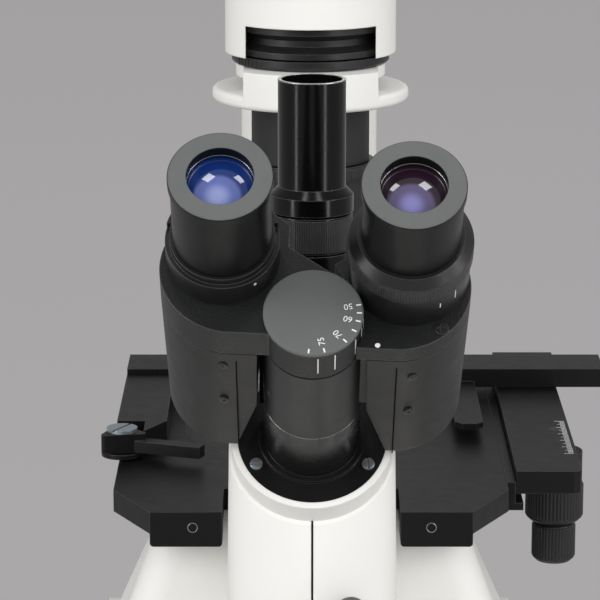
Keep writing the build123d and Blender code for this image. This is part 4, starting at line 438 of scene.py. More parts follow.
PLASTIC = Finish("plastic_black", "black_plastic", tone(27, 27, 28), tone(74, 74, 75), 0.42, Skin.MOULDED)
RUBBER = Finish("black_rubber", "rubber", grey(24), grey(48), 0.72, Skin.MOULDED, relief=0.16, edge_mm=0.8)
PAINT = Finish("white_paint", "white_enamel", tone(236, 236, 232), tone(244, 244, 242), 0.5, Skin.SPRAYED,
               relief=0.05, edge_mm=0.1, mottle=0.03)
BAND_RED = band("red", tone(176, 34, 30), tone(200, 80, 76))
BAND_YELLOW = band("yellow", tone(222, 186, 40), tone(236, 212, 110))
BAND_GREEN = band("green", tone(34, 122, 64), tone(90, 160, 112))
BAND_BLUE = band("blue", tone(92, 158, 206), tone(140, 190, 226))
EYEPIECE = FacedFinish("eyepiece_black", "black_satin", grey(17), tone(101, 104, 102), HEAD_FOOT, HEAD_AXIS,
                       face_mm=138.05)
CLEAR = ClearGlass("clear_glass", "glass", tone(206, 220, 226))


@dataclass(frozen=True)
class Spot:
    """A place on the instrument in millimetres, with the ways that are up and across there."""

    point: Vector
    up: Vector
    across: Vector

    def matrix(self) -> Matrix:
        """Finds the way from the origin to this place.

        Returns:
            The matrix that carries a piece modelled at the origin here, in metres.
        """
        rise = self.up.normalized()
        side = (self.across - rise * self.across.dot(rise)).normalized()
        turn = Matrix((side, rise.cross(side), rise)).transposed()
        return Matrix.Translation(self.point * MM) @ turn.to_4x4()

    def lifted(self, height: float) -> "Spot":
        """Returns the same place a height further up."""
        return Spot(self.point + self.up.normalized() * height, self.up, self.across)


Place = Tuple[Spot, str]
Line = Tuple[Spot, float]


def upright(x: float, y: float, z: float) -> Spot:
    """Returns a place whose up is the part's own up."""
    return Spot(Vector((x, y, z)), UP, RIGHT)


def line_length(number: int, lengths: Mapping[int, float]) -> float:
    """Returns the length of one line of a scale, from the lengths of its steps, widest step first."""
    return next(length for step, length in lengths.items() if number % step == 0)


class Bench:
    """Modelling by hand, one piece open at a time, with sizes in millimetres."""

    @staticmethod
    def clear() -> None:
        """Leaves edit mode and selects nothing."""
        if bpy.context.object and bpy.context.object.mode != "OBJECT":
            bpy.ops.object.mode_set(mode="OBJECT")
        bpy.ops.object.select_all(action="DESELECT")

    @staticmethod
    def take(piece: Piece) -> None:
        """Selects one piece alone and makes it the active one.

        Args:
            piece: The piece.
        """
        Bench.clear()
        piece.select_set(True)
        bpy.context.view_layer.objects.active = piece

    @staticmethod
    def round_bar(name: str, spot: Spot, radius: float, depth: float, sides: int, caps: bool = True) -> Piece:
        """Starts a round piece that stands on a spot.

        Args:
            name: The piece's name.
            spot: The middle of its foot.
            radius: Its radius.
            depth: Its height.
            sides: The number of its side faces.
            caps: Whether its ends are closed.

        Returns:
            The piece, in object mode.
        """
        Bench.clear()
        bpy.ops.mesh.primitive_cylinder_add(
            vertices=sides, radius=radius * MM, depth=depth * MM, end_fill_type="NGON" if caps else "NOTHING",
            location=spot.lifted(depth / 2).point * MM, rotation=spot.matrix().to_euler())
        bpy.context.object.name = name
        return bpy.context.object

    @staticmethod
    def block(name: str, spot: Spot, size: Triple) -> Piece:
        """Starts a block that stands on a spot.

        Args:
            name: The piece's name.
            spot: The middle of its foot.
            size: Its length across, its depth and its height.

        Returns:
            The piece, in object mode.
        """
        Bench.clear()
        bpy.ops.mesh.primitive_cube_add(
            size=1.0, location=spot.lifted(size[2] / 2).point * MM, rotation=spot.matrix().to_euler(),
            scale=tuple(length * MM for length in size))
        bpy.ops.object.transform_apply(location=False, rotation=False, scale=True)
        bpy.context.object.name = name
        return bpy.context.object

    @staticmethod
    def faces(wanted: Pick) -> None:
        """Opens the active piece and selects its faces.

        Args:
            wanted: Says whether a face is taken, from its middle in millimetres and its normal.
        """
        bpy.ops.object.mode_set(mode="EDIT")
        bpy.ops.mesh.select_mode(type="FACE")
        bpy.ops.mesh.select_all(action="DESELECT")
        mesh = bmesh.from_edit_mesh(bpy.context.object.data)
        for face in mesh.faces:
            face.select_set(wanted(face.calc_center_median() / MM, face.normal))
        bmesh.update_edit_mesh(bpy.context.object.data)

    @staticmethod
    def sink_top(margin: float, lift: float) -> None:
        """Insets the top of the active piece and raises it, or sinks it by a negative lift.

        Args:
            margin: The width of the rim that is left.
            lift: How far the inner face goes up.
        """
        Bench.faces(lambda middle, normal: normal.z > 0.9)
        bpy.ops.mesh.inset(thickness=margin * MM, depth=lift * MM)
        bpy.ops.object.mode_set(mode="OBJECT")

    @staticmethod
    def soften(width: float, steps: int = 2) -> None:
        """Bevels every sharp edge of the active piece.

        Args:
            width: The bevel's width.
            steps: The number of its facets.
        """
        bpy.ops.object.mode_set(mode="EDIT")
        bpy.ops.mesh.select_mode(type="EDGE")
        bpy.ops.mesh.select_all(action="DESELECT")
        bpy.ops.mesh.edges_select_sharp(sharpness=math.radians(SHARP_DEG))
        bpy.ops.mesh.bevel(offset=width * MM, segments=steps, affect="EDGES")
        bpy.ops.object.mode_set(mode="OBJECT")

    @staticmethod
    def apply(kind: str, **settings: Any) -> None:
        """Adds a modifier to the active piece and applies it.

        Args:
            kind: The modifier's type.
            **settings: Its settings.
        """
        made = bpy.context.object.modifiers.new(kind.lower(), kind)
        for key, setting in settings.items():
            setattr(made, key, setting)
        bpy.ops.object.modifier_apply(modifier=made.name)

    @staticmethod
    def cut(piece: Piece, tool: Piece) -> None:
        """Cuts one piece away from another and throws the tool away.

        Args:
            piece: What stays.
            tool: What is cut away.
        """
        Bench.take(piece)
        Bench.apply("BOOLEAN", operation="DIFFERENCE", object=tool, solver="EXACT")
        bpy.data.objects.remove(tool)

    @staticmethod
    def settle(piece: Piece, finish: Surface, body: str, angle: float = 35.0) -> Piece:
        """Puts a finished piece into the part's frame and hands it to its body.

        Args:
            piece: The piece.
            finish: What it is made of.
            body: The body that it moves with.
            angle: Edges flatter than this many degrees are shaded round.

        Returns:
            The piece.
        """
        Bench.take(piece)
        bpy.ops.object.transform_apply(location=True, rotation=True, scale=True)
        bpy.ops.object.mode_set(mode="EDIT")
        bpy.ops.mesh.select_all(action="SELECT")
        bpy.ops.mesh.normals_make_consistent(inside=False)
        bpy.ops.object.mode_set(mode="OBJECT")
        bpy.ops.object.shade_smooth_by_angle(angle=math.radians(angle))
        piece.data.materials.clear()
        piece.data.materials.append(finish.material())
        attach(piece, body)
        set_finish(piece, finish.slot)
        LOG.info("%s on %s", piece.name, body)
        return piece

    @staticmethod
    def again(piece: Piece, name: str, start: Spot, goal: Spot, body: str) -> None:
        """Copies a settled piece to another place, with a mesh of its own.

        Args:
            piece: The piece to copy.
            name: The copy's name.
            start: Where the piece was made.
            goal: Where the copy goes.
            body: The body that the copy moves with.
        """
        copy = bpy.data.objects.new(name, piece.data.copy())
        bpy.context.scene.collection.objects.link(copy)
        copy.data.transform(goal.matrix() @ start.matrix().inverted())
        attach(copy, body)
        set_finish(copy, piece["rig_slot"])
        LOG.info("%s on %s", name, body)

    @staticmethod
    def join(pieces: Sequence[Piece], name: str) -> None:
        """Joins settled pieces that ride on one body into the first of them.

        Args:
            pieces: The pieces.
            name: What they are called together.
        """
        Bench.clear()
        for piece in pieces:
            piece.select_set(True)
        bpy.context.view_layer.objects.active = pieces[0]
        bpy.ops.object.join()
        pieces[0].name = name

    @staticmethod
    def ring(name: str, spot: Spot, outer: float, inner: float, depth: float, edge: float,
             sides: int) -> Piece:
        """Models a flat ring with softened edges.

        Args:
            name: The piece's name.
            spot: The middle of its foot.
            outer: Its outer radius.
            inner: The radius of its hole.
            depth: Its height.
            edge: The width of its softened edges.
            sides: The number of its side faces.

        Returns:
            The ring, in object mode.
        """
        piece = Bench.round_bar(name, spot, outer, depth, sides)
        Bench.faces(lambda middle, normal: abs(normal.z) > 0.9)
        bpy.ops.mesh.inset(thickness=(outer - inner) * MM)
        bpy.ops.mesh.bridge_edge_loops()
        bpy.ops.object.mode_set(mode="OBJECT")
        Bench.soften(edge)
        return piece

    @staticmethod
    def words(name: str, text: str, spot: Spot, height: float, finish: Surface, body: str) -> None:
        """Sets a number or sign as a thin raised print.

        Args:
            name: The piece's name.
            text: What it says.
            spot: Its middle, with up out of the surface and across along the line.
            height: The height of its capitals, near enough.
            finish: Its paint.
            body: The body that it moves with.
        """
        Bench.clear()
        bpy.ops.object.text_add(location=(0, 0, 0))
        piece = bpy.context.object
        piece.name = name
        piece.data.body = text
        piece.data.size = height * MM / CAPITAL_SHARE
        piece.data.extrude = PRINT_DEPTH * MM
        piece.data.resolution_u = 4
        piece.data.align_x = "CENTER"
        piece.data.align_y = "CENTER"
        bpy.ops.object.convert(target="MESH")
        piece = bpy.context.object
        piece.matrix_world = spot.matrix()
        Bench.settle(piece, finish, body)


class Drive(Enum):
    """The recess in a screw's head."""

    SLOT = "slot"
    CROSS = "cross"
    HEX = "hex"


@dataclass
class Screw:
    """A small screw, modelled once and copied to its other places; its details are shares of its size."""

    name: str
    drive: Drive
    radius: float
    height: float
    finish: Finish
    rim: float = 0.12
    dome: float = 0.06
    slot_width: float = 0.26
    slot_span: float = 2.4
    cross_span: float = 1.15
    hex_reach: float = 0.5
    solid_share: float = 0.45

    def model(self, name: str, spot: Spot) -> Piece:
        """Models the head with its recess.

        Args:
            name: The piece's name.
            spot: The middle of the seat under the head.

        Returns:
            The head, not yet settled.
        """
        head = Bench.round_bar(name, spot, self.radius, self.height, 32)
        Bench.sink_top(self.radius * self.rim, self.radius * self.dome)
        floor = spot.lifted(self.height * self.solid_share)
        if self.drive is Drive.HEX:
            Bench.cut(head, Bench.round_bar("tool", floor, self.radius * self.hex_reach, self.height, 6))
        else:
            width = self.radius * self.slot_width
            span = self.radius * (self.slot_span if self.drive is Drive.SLOT else self.cross_span)
            Bench.cut(head, Bench.block("tool", floor, (span, width, self.height)))
            if self.drive is Drive.CROSS:
                Bench.cut(head, Bench.block("tool", floor, (width, span, self.height)))
        bpy.context.view_layer.objects.active = head
        return head

    def set(self, places: Sequence[Place]) -> None:
        """Sets the screw at each of its places.

        Args:
            places: The spots, each with the body that the screw moves with.
        """
        (start, carrier), *others = places
        first = Bench.settle(self.model(f"{self.name}_1", start), self.finish, carrier)
        for number, (spot, body) in enumerate(others, start=2):
            Bench.again(first, f"{self.name}_{number}", start, spot, body)


@dataclass
class KnurlBand:
    """A band of straight ridges round a knob or ring."""

    name: str
    spot: Spot
    radius: float
    height: float
    ridges: int
    depth: float
    finish: Finish
    body: str
    sunk: float = 0.05
    slope_share: float = 0.24
    wall: float = 0.35
    shade_deg: float = 20.0

    def build(self) -> None:
        """Models the band: a thin hoop whose every facet is raised into a ridge."""
        corner_r = (self.radius - self.sunk) / math.cos(math.pi / self.ridges)
        piece = Bench.round_bar(self.name, self.spot, corner_r, self.height, self.ridges, caps=False)
        Bench.faces(lambda middle, normal: True)
        facet = 2 * math.pi * self.radius / self.ridges
        slope = min(facet, self.height) * self.slope_share
        bpy.ops.mesh.inset(thickness=slope * MM, depth=self.depth * MM, use_individual=True)
        bpy.ops.object.mode_set(mode="OBJECT")
        Bench.apply("SOLIDIFY", thickness=self.wall * MM, offset=-1.0)
        Bench.settle(piece, self.finish, self.body, self.shade_deg)


@dataclass
class TickRow:
    """A row of painted or raised lines, joined into one piece."""

    name: str
    width: float
    body: str
    finish: Finish = PAINT
    proud: float = 0.06
    edge_share: float = 0.6

    def build(self, lines: Sequence[Line]) -> None:
        """Models the lines and joins them.

        Args:
            lines: The middle of each line, with across along it and up out of the surface, and its length.
        """
        made = []
        for number, (spot, length) in enumerate(lines):
            size = (length, self.width, 2 * self.proud)
            line = Bench.block(f"{self.name}_{number}", spot.lifted(-self.proud), size)
            Bench.soften(self.proud * self.edge_share, 1)
            made.append(Bench.settle(line, self.finish, self.body))
        Bench.join(made, self.name)


DIAL_ANGLES = {"50": -10.0, "55": 1.7, "60": 13.7, "65": 28.4, "70": 47.0, "75": 76.5, "end": 95.8}
DIAL_LABELS = ("50", "60", "70", "75")
DRUM_ANGLES = (84.7, 64.5, 33.0, 16.0, 4.0)


@dataclass
class Head:
    """The leaning binocular head: its dial, marks, screws and lens seats."""

    foot: Vector = field(default_factory=lambda: Vector(HEAD_FOOT))
    axis: Vector = field(default_factory=lambda: Vector(HEAD_AXIS))
    rise: Vector = field(default_factory=lambda: Vector((0, math.sqrt(0.5), math.sqrt(0.5))))
    lean_deg: float = 3.0
    hinge: Pair = (0.0, 0.0)
    dial_top: float = 89.2
    dial_line_r: float = 16.1
    dial_line: float = 1.8
    dial_stroke: float = 0.55
    dial_number_r: float = 12.4
    dial_number_h: float = 2.3
    drum_r: float = 17.6
    drum_mid: float = 81.4
    drum_line: float = 9.6
    drum_stroke: float = 0.45
    plate_top: float = 80.9
    plate_dot: Pair = (22.5, -8.75)
    plate_screw: Pair = (45.2, -2.0)
    left_eye: Pair = (-31.79, 23.95)
    right_eye: Pair = (34.12, 20.49)
    lens_top: float = 133.9
    lens_r: float = 11.65
    lens_ring_h: float = 0.9
    cover_r: float = 26.6
    cover_axis: Pair = (28.6, 17.5)
    flange_screw_r: float = 24.0
    flange_screws: Tuple[Pair, ...] = ((30.0, 95.0), (150.0, 12.0), (-90.0, 50.0))
    cover_screws: Tuple[Tuple[float, float, str], ...] = (
        (35.2, 61.2, "right_arm"), (34.5, 36.9, "right_arm"), (-31.9, 64.7, "left_arm"),
        (-32.0, 40.5, "left_arm"))
    sleeve_r: float = 17.8
    sleeve_foot: float = 30.05
    sleeve_screw_angle: float = 152.0
    sleeve_screw_h: float = 47.0
    seam_mid: float = 37.2
    seam_length: float = 61.6
    seam_xs: Pair = (29.5, -27.2)
    shade_foot: Triple = (-17.9, 10.0, 8.0)
    shade_size: Triple = (3.3, 0.8, 63.6)
    collar_r: float = 20.2
    collar_dot_angle: float = 55.2
    collar_dot_h: float = 95.6
    ring_r: float = 21.3
    ring_lines: Tuple[Triple, ...] = ((43.3, 91.6, 4.6), (61.4, 90.4, 2.6))
    knurl_r: float = 21.8
    knurl_foot: float = 96.4
    knurl_h: float = 8.0
    knurl_margin: float = 0.4

    def along(self, way: Triple) -> Vector:
        """Returns a way on the head, given as right, back and up the hinge, in the part's frame."""
        return RIGHT * way[0] + self.rise * way[1] + self.axis * way[2]

    def at(self, x: float, n: float, h: float, up: Triple = (0, 0, 1), across: Triple = (1, 0, 0)) -> Spot:
        """Finds a place on the head.

        Args:
            x: Millimetres to the right of the hinge.
            n: Millimetres from the hinge towards the back, square to it.
            h: Millimetres along the hinge from the flange.
            up: The way out of the surface, in the same three directions.
            across: The way across the surface, in the same three directions.

        Returns:
            The spot in the part's frame.
        """
        return Spot(self.foot + self.along((x, n, h)), self.along(up), self.along(across))

    @staticmethod
    def toward(angle: float, turn: float = 1.0) -> Triple:
        """Returns the way at an angle from the right, towards the front, or the back by a turn of -1."""
        return math.cos(math.radians(angle)), -turn * math.sin(math.radians(angle)), 0.0

    def on_dial(self, angle: float, radius: float, outward: float) -> Spot:
        """Finds a place on the dial's face.

        Args:
            angle: Its angle from the right.
            radius: How far out it is.
            outward: 1 if across points outwards there, -1 if it points inwards.

        Returns:
            The spot.
        """
        x, n, _ = self.toward(angle)
        return self.at(x * radius, n * radius, self.dial_top, across=(x * outward, n * outward, 0.0))

    def on_wall(self, middle: Pair, radius: float, angle: float, h: float) -> Spot:
        """Finds a place on a round wall that stands along the hinge.

        Args:
            middle: The wall's axis.
            radius: Its radius.
            angle: The place's angle from the right.
            h: Millimetres along the hinge from the flange.

        Returns:
            The spot, with up out of the wall and across along the hinge.
        """
        out = self.toward(angle)
        return self.at(middle[0] + out[0] * radius, middle[1] + out[1] * radius, h, up=out, across=(0, 0, 1))

    def on_cover(self, x: float, h: float, sunk: float, across: Triple) -> Spot:
        """Finds a place on the round front of a prism cover.

        Args:
            x: Millimetres to the right of the hinge.
            h: Millimetres along the hinge from the flange.
            sunk: How far the place lies under the surface.
            across: The way across the surface.

        Returns:
            The spot, with up out of the cover.
        """
        lean = math.radians(self.lean_deg)
        level_x = math.copysign(self.cover_axis[0], x)
        middle_x = level_x * math.cos(lean) + self.cover_axis[1] * math.sin(lean)
        middle_n = self.cover_axis[1] * math.cos(lean) - level_x * math.sin(lean)
        n = middle_n - math.sqrt(self.cover_r ** 2 - (x - middle_x) ** 2)
        out = ((x - middle_x) / self.cover_r, (n - middle_n) / self.cover_r, 0.0)
        return self.at(x - out[0] * sunk, n - out[1] * sunk, h, up=out, across=across)

    def dial(self) -> None:
        """Prints the dial's lines and numbers and the drum's long lines."""
        TickRow("dial_lines", self.dial_stroke, "left_arm").build([
            (self.on_dial(angle, self.dial_line_r, 1.0), self.dial_line) for angle in DIAL_ANGLES.values()])
        for label in DIAL_LABELS:
            spot = self.on_dial(DIAL_ANGLES[label], self.dial_number_r, -1.0).lifted(PRINT_LIFT)
            Bench.words(f"dial_{label}", label, spot, self.dial_number_h, PAINT, "left_arm")
        TickRow("drum_lines", self.drum_stroke, "left_arm").build([
            (self.on_wall(self.hinge, self.drum_r, angle, self.drum_mid), self.drum_line)
            for angle in DRUM_ANGLES])

    def marks(self) -> None:
        """Sets the painted dots and the eyesight ring's lines."""
        on_plate = self.at(*self.plate_dot, self.plate_top)
        # A small white dot on the side of the left eyepiece's collar.
        on_collar = self.on_wall(self.left_eye, self.collar_r - 0.05, self.collar_dot_angle,
                                 self.collar_dot_h)
        for name, spot, radius, depth, sides, body in (
                ("plate_index_dot", on_plate, 0.95, 0.1, 24, "right_arm"),
                ("collar_white_dot", on_collar, 0.6, 0.12, 20, "left_arm")):
            piece = Bench.round_bar(name, spot, radius, depth, sides)
            Bench.soften(0.03, 1)
            Bench.settle(piece, PAINT, body)
        TickRow("eyesight_lines", 0.4, "diopter", proud=0.05).build([
            (self.on_wall(self.right_eye, self.ring_r, angle, middle), length)
            for angle, middle, length in self.ring_lines])

    def seams(self) -> None:
        """Draws the covers' parting lines, a dark strip of painted shade in the gap beside the sleeve and the
        barrel's bright edge.
        """
        for name, x in zip(("right", "left"), self.seam_xs):
            seam = TickRow(f"{name}_cover_seam", 0.5, f"{name}_arm", finish=SEAM_AND_SHADE, proud=0.04)
            seam.build([(self.on_cover(x, self.seam_mid, 0.0, (0, 0, 1)), self.seam_length)])
        # Painted shade: a near-black strip that fills the gap beside the sleeve.
        shade = Bench.block("left_arm_shade", self.at(*self.shade_foot), self.shade_size)
        Bench.soften(0.2, 1)
        Bench.settle(shade, SEAM_AND_SHADE, "left_arm")
        under_sleeve = self.at(*self.hinge, self.sleeve_foot - 0.4)
        edge = Bench.ring("barrel_edge", under_sleeve, self.sleeve_r + 0.06,
                          self.sleeve_r - 0.8, 0.35, 0.08, 96)
        Bench.settle(edge, STEEL, "stand")

    def screws(self) -> None:
        """Sets the flange, cover, plate and sleeve screws."""
        flange = []
        for angle, slot_turn in self.flange_screws:
            x, n, _ = self.toward(angle)
            flange.append((self.at(x * self.flange_screw_r, n * self.flange_screw_r, 0.0,
                                   across=self.toward(slot_turn, -1.0)), "stand"))
        Screw("flange_screw", Drive.SLOT, 2.35, 0.9, ZINC).set(flange)
        Screw("cover_screw", Drive.CROSS, 1.7, 0.5, SATIN).set([
            (self.on_cover(x, h, 0.15, (0.5, 0, 0.86)), body) for x, h, body in self.cover_screws])
        Screw("plate_screw", Drive.CROSS, 2.6, 0.5, SATIN).set([
            (self.at(*self.plate_screw, self.plate_top - 0.1), "right_arm")])
        on_sleeve = self.on_wall(self.hinge, self.sleeve_r - 0.1, self.sleeve_screw_angle,
                                 self.sleeve_screw_h)
        Screw("sleeve_screw", Drive.HEX, 1.5, 0.35, SATIN).set([(on_sleeve, "right_arm")])

    def lenses(self) -> None:
        """Seats a thin threaded ring round each eye lens and ribs the eyesight ring."""
        for name, eye, body in (("left", self.left_eye, "left_arm"),
                                ("right", self.right_eye, "right_ocular")):
            seat = self.at(*eye, self.lens_top - self.lens_ring_h)
            piece = Bench.ring(f"{name}_lens_ring", seat, self.lens_r + 0.75, self.lens_r - 0.15,
                               self.lens_ring_h, 0.15, 72)
            Bench.settle(piece, STEEL, body)
        foot = self.at(*self.right_eye, self.knurl_foot + self.knurl_margin)
        KnurlBand("eyesight_ribs", foot, self.knurl_r, self.knurl_h - 2 * self.knurl_margin,
                  ridges=132, depth=0.28, finish=TURNED_HEAD, body="diopter").build()

    def build(self) -> None:
        """Builds every piece of the head."""
        self.dial()
        self.marks()
        self.seams()
        self.screws()
        self.lenses()


@dataclass
class PhotoPort:
    """The upright camera tube behind the head."""

    y: float = -94.0
    lock_r: float = 15.5
    lock_foot: float = 313.0
    lock_h: float = 15.0
    lock_margin: float = 1.2
    tube_r: float = 13.0
    bore_r: float = 11.6
    tube_top: float = 379.0

    def build(self) -> None:
        """Ribs the lock ring and brightens the tube's rim."""
        KnurlBand("lock_ribs", upright(0, self.y, self.lock_foot + self.lock_margin), self.lock_r,
                  self.lock_h - 2 * self.lock_margin, ridges=108, depth=0.3, finish=SATIN,
                  body="lock_ring").build()
        rim = Bench.ring("tube_rim", upright(0, self.y, self.tube_top - 0.35), self.tube_r + 0.05,
                         self.bore_r + 0.1, 0.45, 0.12, 72)
        Bench.settle(rim, STEEL, "stand")


@dataclass
class PathSelector:
    """The pull knob that sends the light to the eyes or to the camera."""

    x: float = 14.5
    front_y: float = -175.56
    z: float = 189.5
    radius: float = 6.0
    grip: float = 10.4
    lead: float = 1.8

    def build(self) -> None:
        """Ribs the knob."""
        spot = Spot(Vector((self.x, self.front_y + self.lead, self.z)), BACK, RIGHT)
        KnurlBand("selector_ribs", spot, self.radius, self.grip,
                  ridges=40, depth=0.3, finish=SATIN, body="selector").build()


@dataclass
class Illuminator:
    """The lamp arm: iris rings and lamp cap."""

    axis_y: float = 38.0
    iris_r: float = 33.25
    iris_foot: float = 365.7
    iris_h: float = 4.0
    iris_margin: float = 0.4
    ridge_angles: Tuple[float, ...] = tuple(206.0 + 4.0 * number for number in range(7))
    aperture_r: float = 27.0
    aperture_foot: float = 317.5
    aperture_h: float = 6.0
    aperture_margin: float = 0.8
    cap_top: float = 452.0
    cap_screw_r: float = 24.0
    cap_screw_angles: Tuple[float, ...] = (45.0, 135.0, 225.0, 315.0)

    def around(self, angle: float, radius: float, z: float) -> Tuple[Vector, Vector]:
        """Finds a place about the light's axis.

        Args:
            angle: Its angle from the right.
            radius: How far out it is.
            z: Its height.

        Returns:
            The place and the way out of the axis there.
        """
        way = Vector((math.cos(math.radians(angle)), math.sin(math.radians(angle)), 0))
        return Vector((0, self.axis_y, z)) + way * radius, way

    def build(self) -> None:
        """Raises the field iris's finger ridges, ribs the aperture ring and sets the cap's screws."""
        ridges = []
        for angle in self.ridge_angles:
            point, way = self.around(angle, self.iris_r, self.iris_foot + self.iris_h / 2)
            ridges.append((Spot(point, way, UP), self.iris_h - 2 * self.iris_margin))
        TickRow("field_iris_ridges", 1.0, "field_iris", finish=SATIN, proud=0.35).build(ridges)
        foot = upright(0, self.axis_y, self.aperture_foot + self.aperture_margin)
        KnurlBand("aperture_ribs", foot, self.aperture_r, self.aperture_h - 2 * self.aperture_margin,
                  ridges=120, depth=0.3, finish=SATIN, body="aperture").build()
        Screw("cap_screw", Drive.CROSS, 2.2, 0.35, ZINC).set([
            (upright(*self.around(angle, self.cap_screw_r, self.cap_top - 0.4)[0]), "stand")
            for angle in self.cap_screw_angles])


RULE_LINES = {10: 4.2, 5: 3.2, 1: 2.2}


@dataclass
class MechanicalStage:
    """The stage plate with its slides, scales and hanging knobs."""

    bar_top: float = 218.4
    bar_front: float = 86.0
    bar_foot: float = 209.9
    rail_x: float = 0.5
    rail_size: Triple = (122.0, 0.9, 2.1)
    carriage_top: float = 209.6
    scale_zero: float = -20.0
    scale_end: float = 109.5
    cross_marks: int = 61
    cross_number_y: float = 103.0
    number_h: float = 1.9
    number_step: int = 10
    long_marks: int = 51
    knob_x: float = 105.0
    knob_y: float = 18.0
    grip_margin: float = 2.0
    grip_h: float = 14.0
    y_knob_r: float = 12.0
    y_knob_foot: float = 169.7
    x_knob_r: float = 9.0
    x_knob_foot: float = 151.4
    lug_xs: Pair = (-47.0, 47.5)
    lug_y: float = -87.0
    lug_z: float = 198.5
    hole_r: float = 1.9
    lip_rs: Pair = (2.05, 1.75)

    def threaded_holes(self) -> None:
        """Marks the threaded hole in each front lug with a dark disc of painted shade for its inside and a
        bright steel lip.
        """
        first, *others = [Spot(Vector((x, self.lug_y, self.lug_z)), -BACK, RIGHT) for x in self.lug_xs]
        # Painted shade: a dark disc stands for the inside of the hole.
        hole_shade = Bench.round_bar("lug_hole_1", first.lifted(-0.1), self.hole_r, 0.14, 28)
        Bench.sink_top(0.3, -0.1)
        Bench.settle(hole_shade, SEAM_AND_SHADE, "stand")
        lip = Bench.ring("lug_hole_lip_1", first.lifted(-0.1), *self.lip_rs, 0.16, 0.05, 28)
        Bench.settle(lip, STEEL, "stand")
        for number, spot in enumerate(others, start=2):
            Bench.again(hole_shade, f"lug_hole_{number}", first, spot, "stand")
            Bench.again(lip, f"lug_hole_lip_{number}", first, spot, "stand")

    def scales(self) -> None:
        """Prints the two millimetre scales."""
        cross = []
        for number in range(self.cross_marks):
            length = line_length(number, RULE_LINES)
            point = Vector((self.scale_zero + number, self.scale_end - length / 2, self.bar_top))
            cross.append((Spot(point, UP, BACK), length))
        TickRow("cross_scale", 0.2, "cross_slide", proud=0.04).build(cross)
        for number in range(0, self.cross_marks, self.number_step):
            spot = upright(self.scale_zero + number, self.cross_number_y, self.bar_top + PRINT_LIFT)
            Bench.words(f"cross_scale_{number}", str(number), spot, self.number_h, PAINT, "cross_slide")
        long_way = []
        for number in range(self.long_marks):
            length = line_length(number, RULE_LINES)
            spot = upright(self.scale_end - length / 2, self.scale_zero + number, self.carriage_top)
            long_way.append((spot, length))
        TickRow("long_scale", 0.2, "carriage", proud=0.04).build(long_way)

    def build(self) -> None:
        """Builds the rail, scales, knob ribs and threaded holes."""
        seat = upright(self.rail_x, self.bar_front - 0.1, self.bar_foot + 0.1)
        rail = Bench.block("cross_rail", seat, self.rail_size)
        Bench.soften(0.3, 3)
        Bench.settle(rail, CHROME, "cross_slide")
        self.scales()
        for body, radius, foot, ridges, depth in (("y_knob", self.y_knob_r, self.y_knob_foot, 48, 0.5),
                                                  ("x_knob", self.x_knob_r, self.x_knob_foot, 40, 0.45)):
            spot = upright(self.knob_x, self.knob_y, foot + self.grip_margin)
            KnurlBand(f"{body}_ribs", spot, radius, self.grip_h, ridges, depth, PLASTIC, body).build()
        self.threaded_holes()


@dataclass
class Nosepiece:
    """The turret and its objectives: grips and the coloured bands that tell them apart."""

    axis_y: float = 38.0
    seat_z: float = 151.0
    lean_deg: float = 12.0
    pitch_r: float = 25.0
    turret_r: float = 38.0
    grip_foot: float = -12.6
    grip_h: float = 9.2
    barrel_r: float = 12.0
    rib_foot: float = 3.0
    rib_h: float = 4.6
    band_below_nose: float = 14.0
    band_h: float = 2.2
    objectives: Tuple[Tuple[str, float, Finish], ...] = (
        ("40x", 41.0, BAND_BLUE), ("20x", 38.0, BAND_GREEN), ("10x", 33.0, BAND_YELLOW),
        ("4x", 30.0, BAND_RED))

    def axis(self) -> Vector:
        """Returns the way of the turret's axis."""
        lean = math.radians(self.lean_deg)
        return Vector((0, math.sin(lean), math.cos(lean)))

    def seat(self, number: int) -> Spot:
        """Finds the seat of one objective.

        Args:
            number: The seat's number, 0 in the light path.

        Returns:
            The seat, with up along the objective.
        """
        lean = math.radians(self.lean_deg)
        turn = math.pi / 2 * number
        front = Vector((0, -math.cos(lean), math.sin(lean)))
        outward = front * math.cos(turn) + RIGHT * math.sin(turn)
        centre = Vector((0, self.axis_y, self.seat_z)) - front * self.pitch_r
        along = self.axis() * math.cos(lean) + outward * math.sin(lean)
        return Spot(centre + outward * self.pitch_r, along, outward)

    def build(self) -> None:
        """Ribs the turret and every objective and paints the bands."""
        middle = Spot((self.seat(0).point + self.seat(2).point) / 2, self.axis(), RIGHT)
        KnurlBand("turret_ribs", middle.lifted(self.grip_foot), self.turret_r, self.grip_h,
                  ridges=96, depth=0.5, finish=SATIN, body="turret").build()
        for number, (name, length, paint) in enumerate(self.objectives):
            seat = self.seat(number)
            KnurlBand(f"objective_{name}_ribs", seat.lifted(self.rib_foot), self.barrel_r, self.rib_h,
                      ridges=80, depth=0.3, finish=CHROME, body="turret").build()
            stripe = Bench.ring(f"objective_{name}_band", seat.lifted(length - self.band_below_nose),
                                self.barrel_r + 0.1, self.barrel_r - 0.8, self.band_h, 0.25, 72)
            Bench.settle(stripe, paint, "turret")


FINE_LINES = {5: 3.0, 1: 1.8}


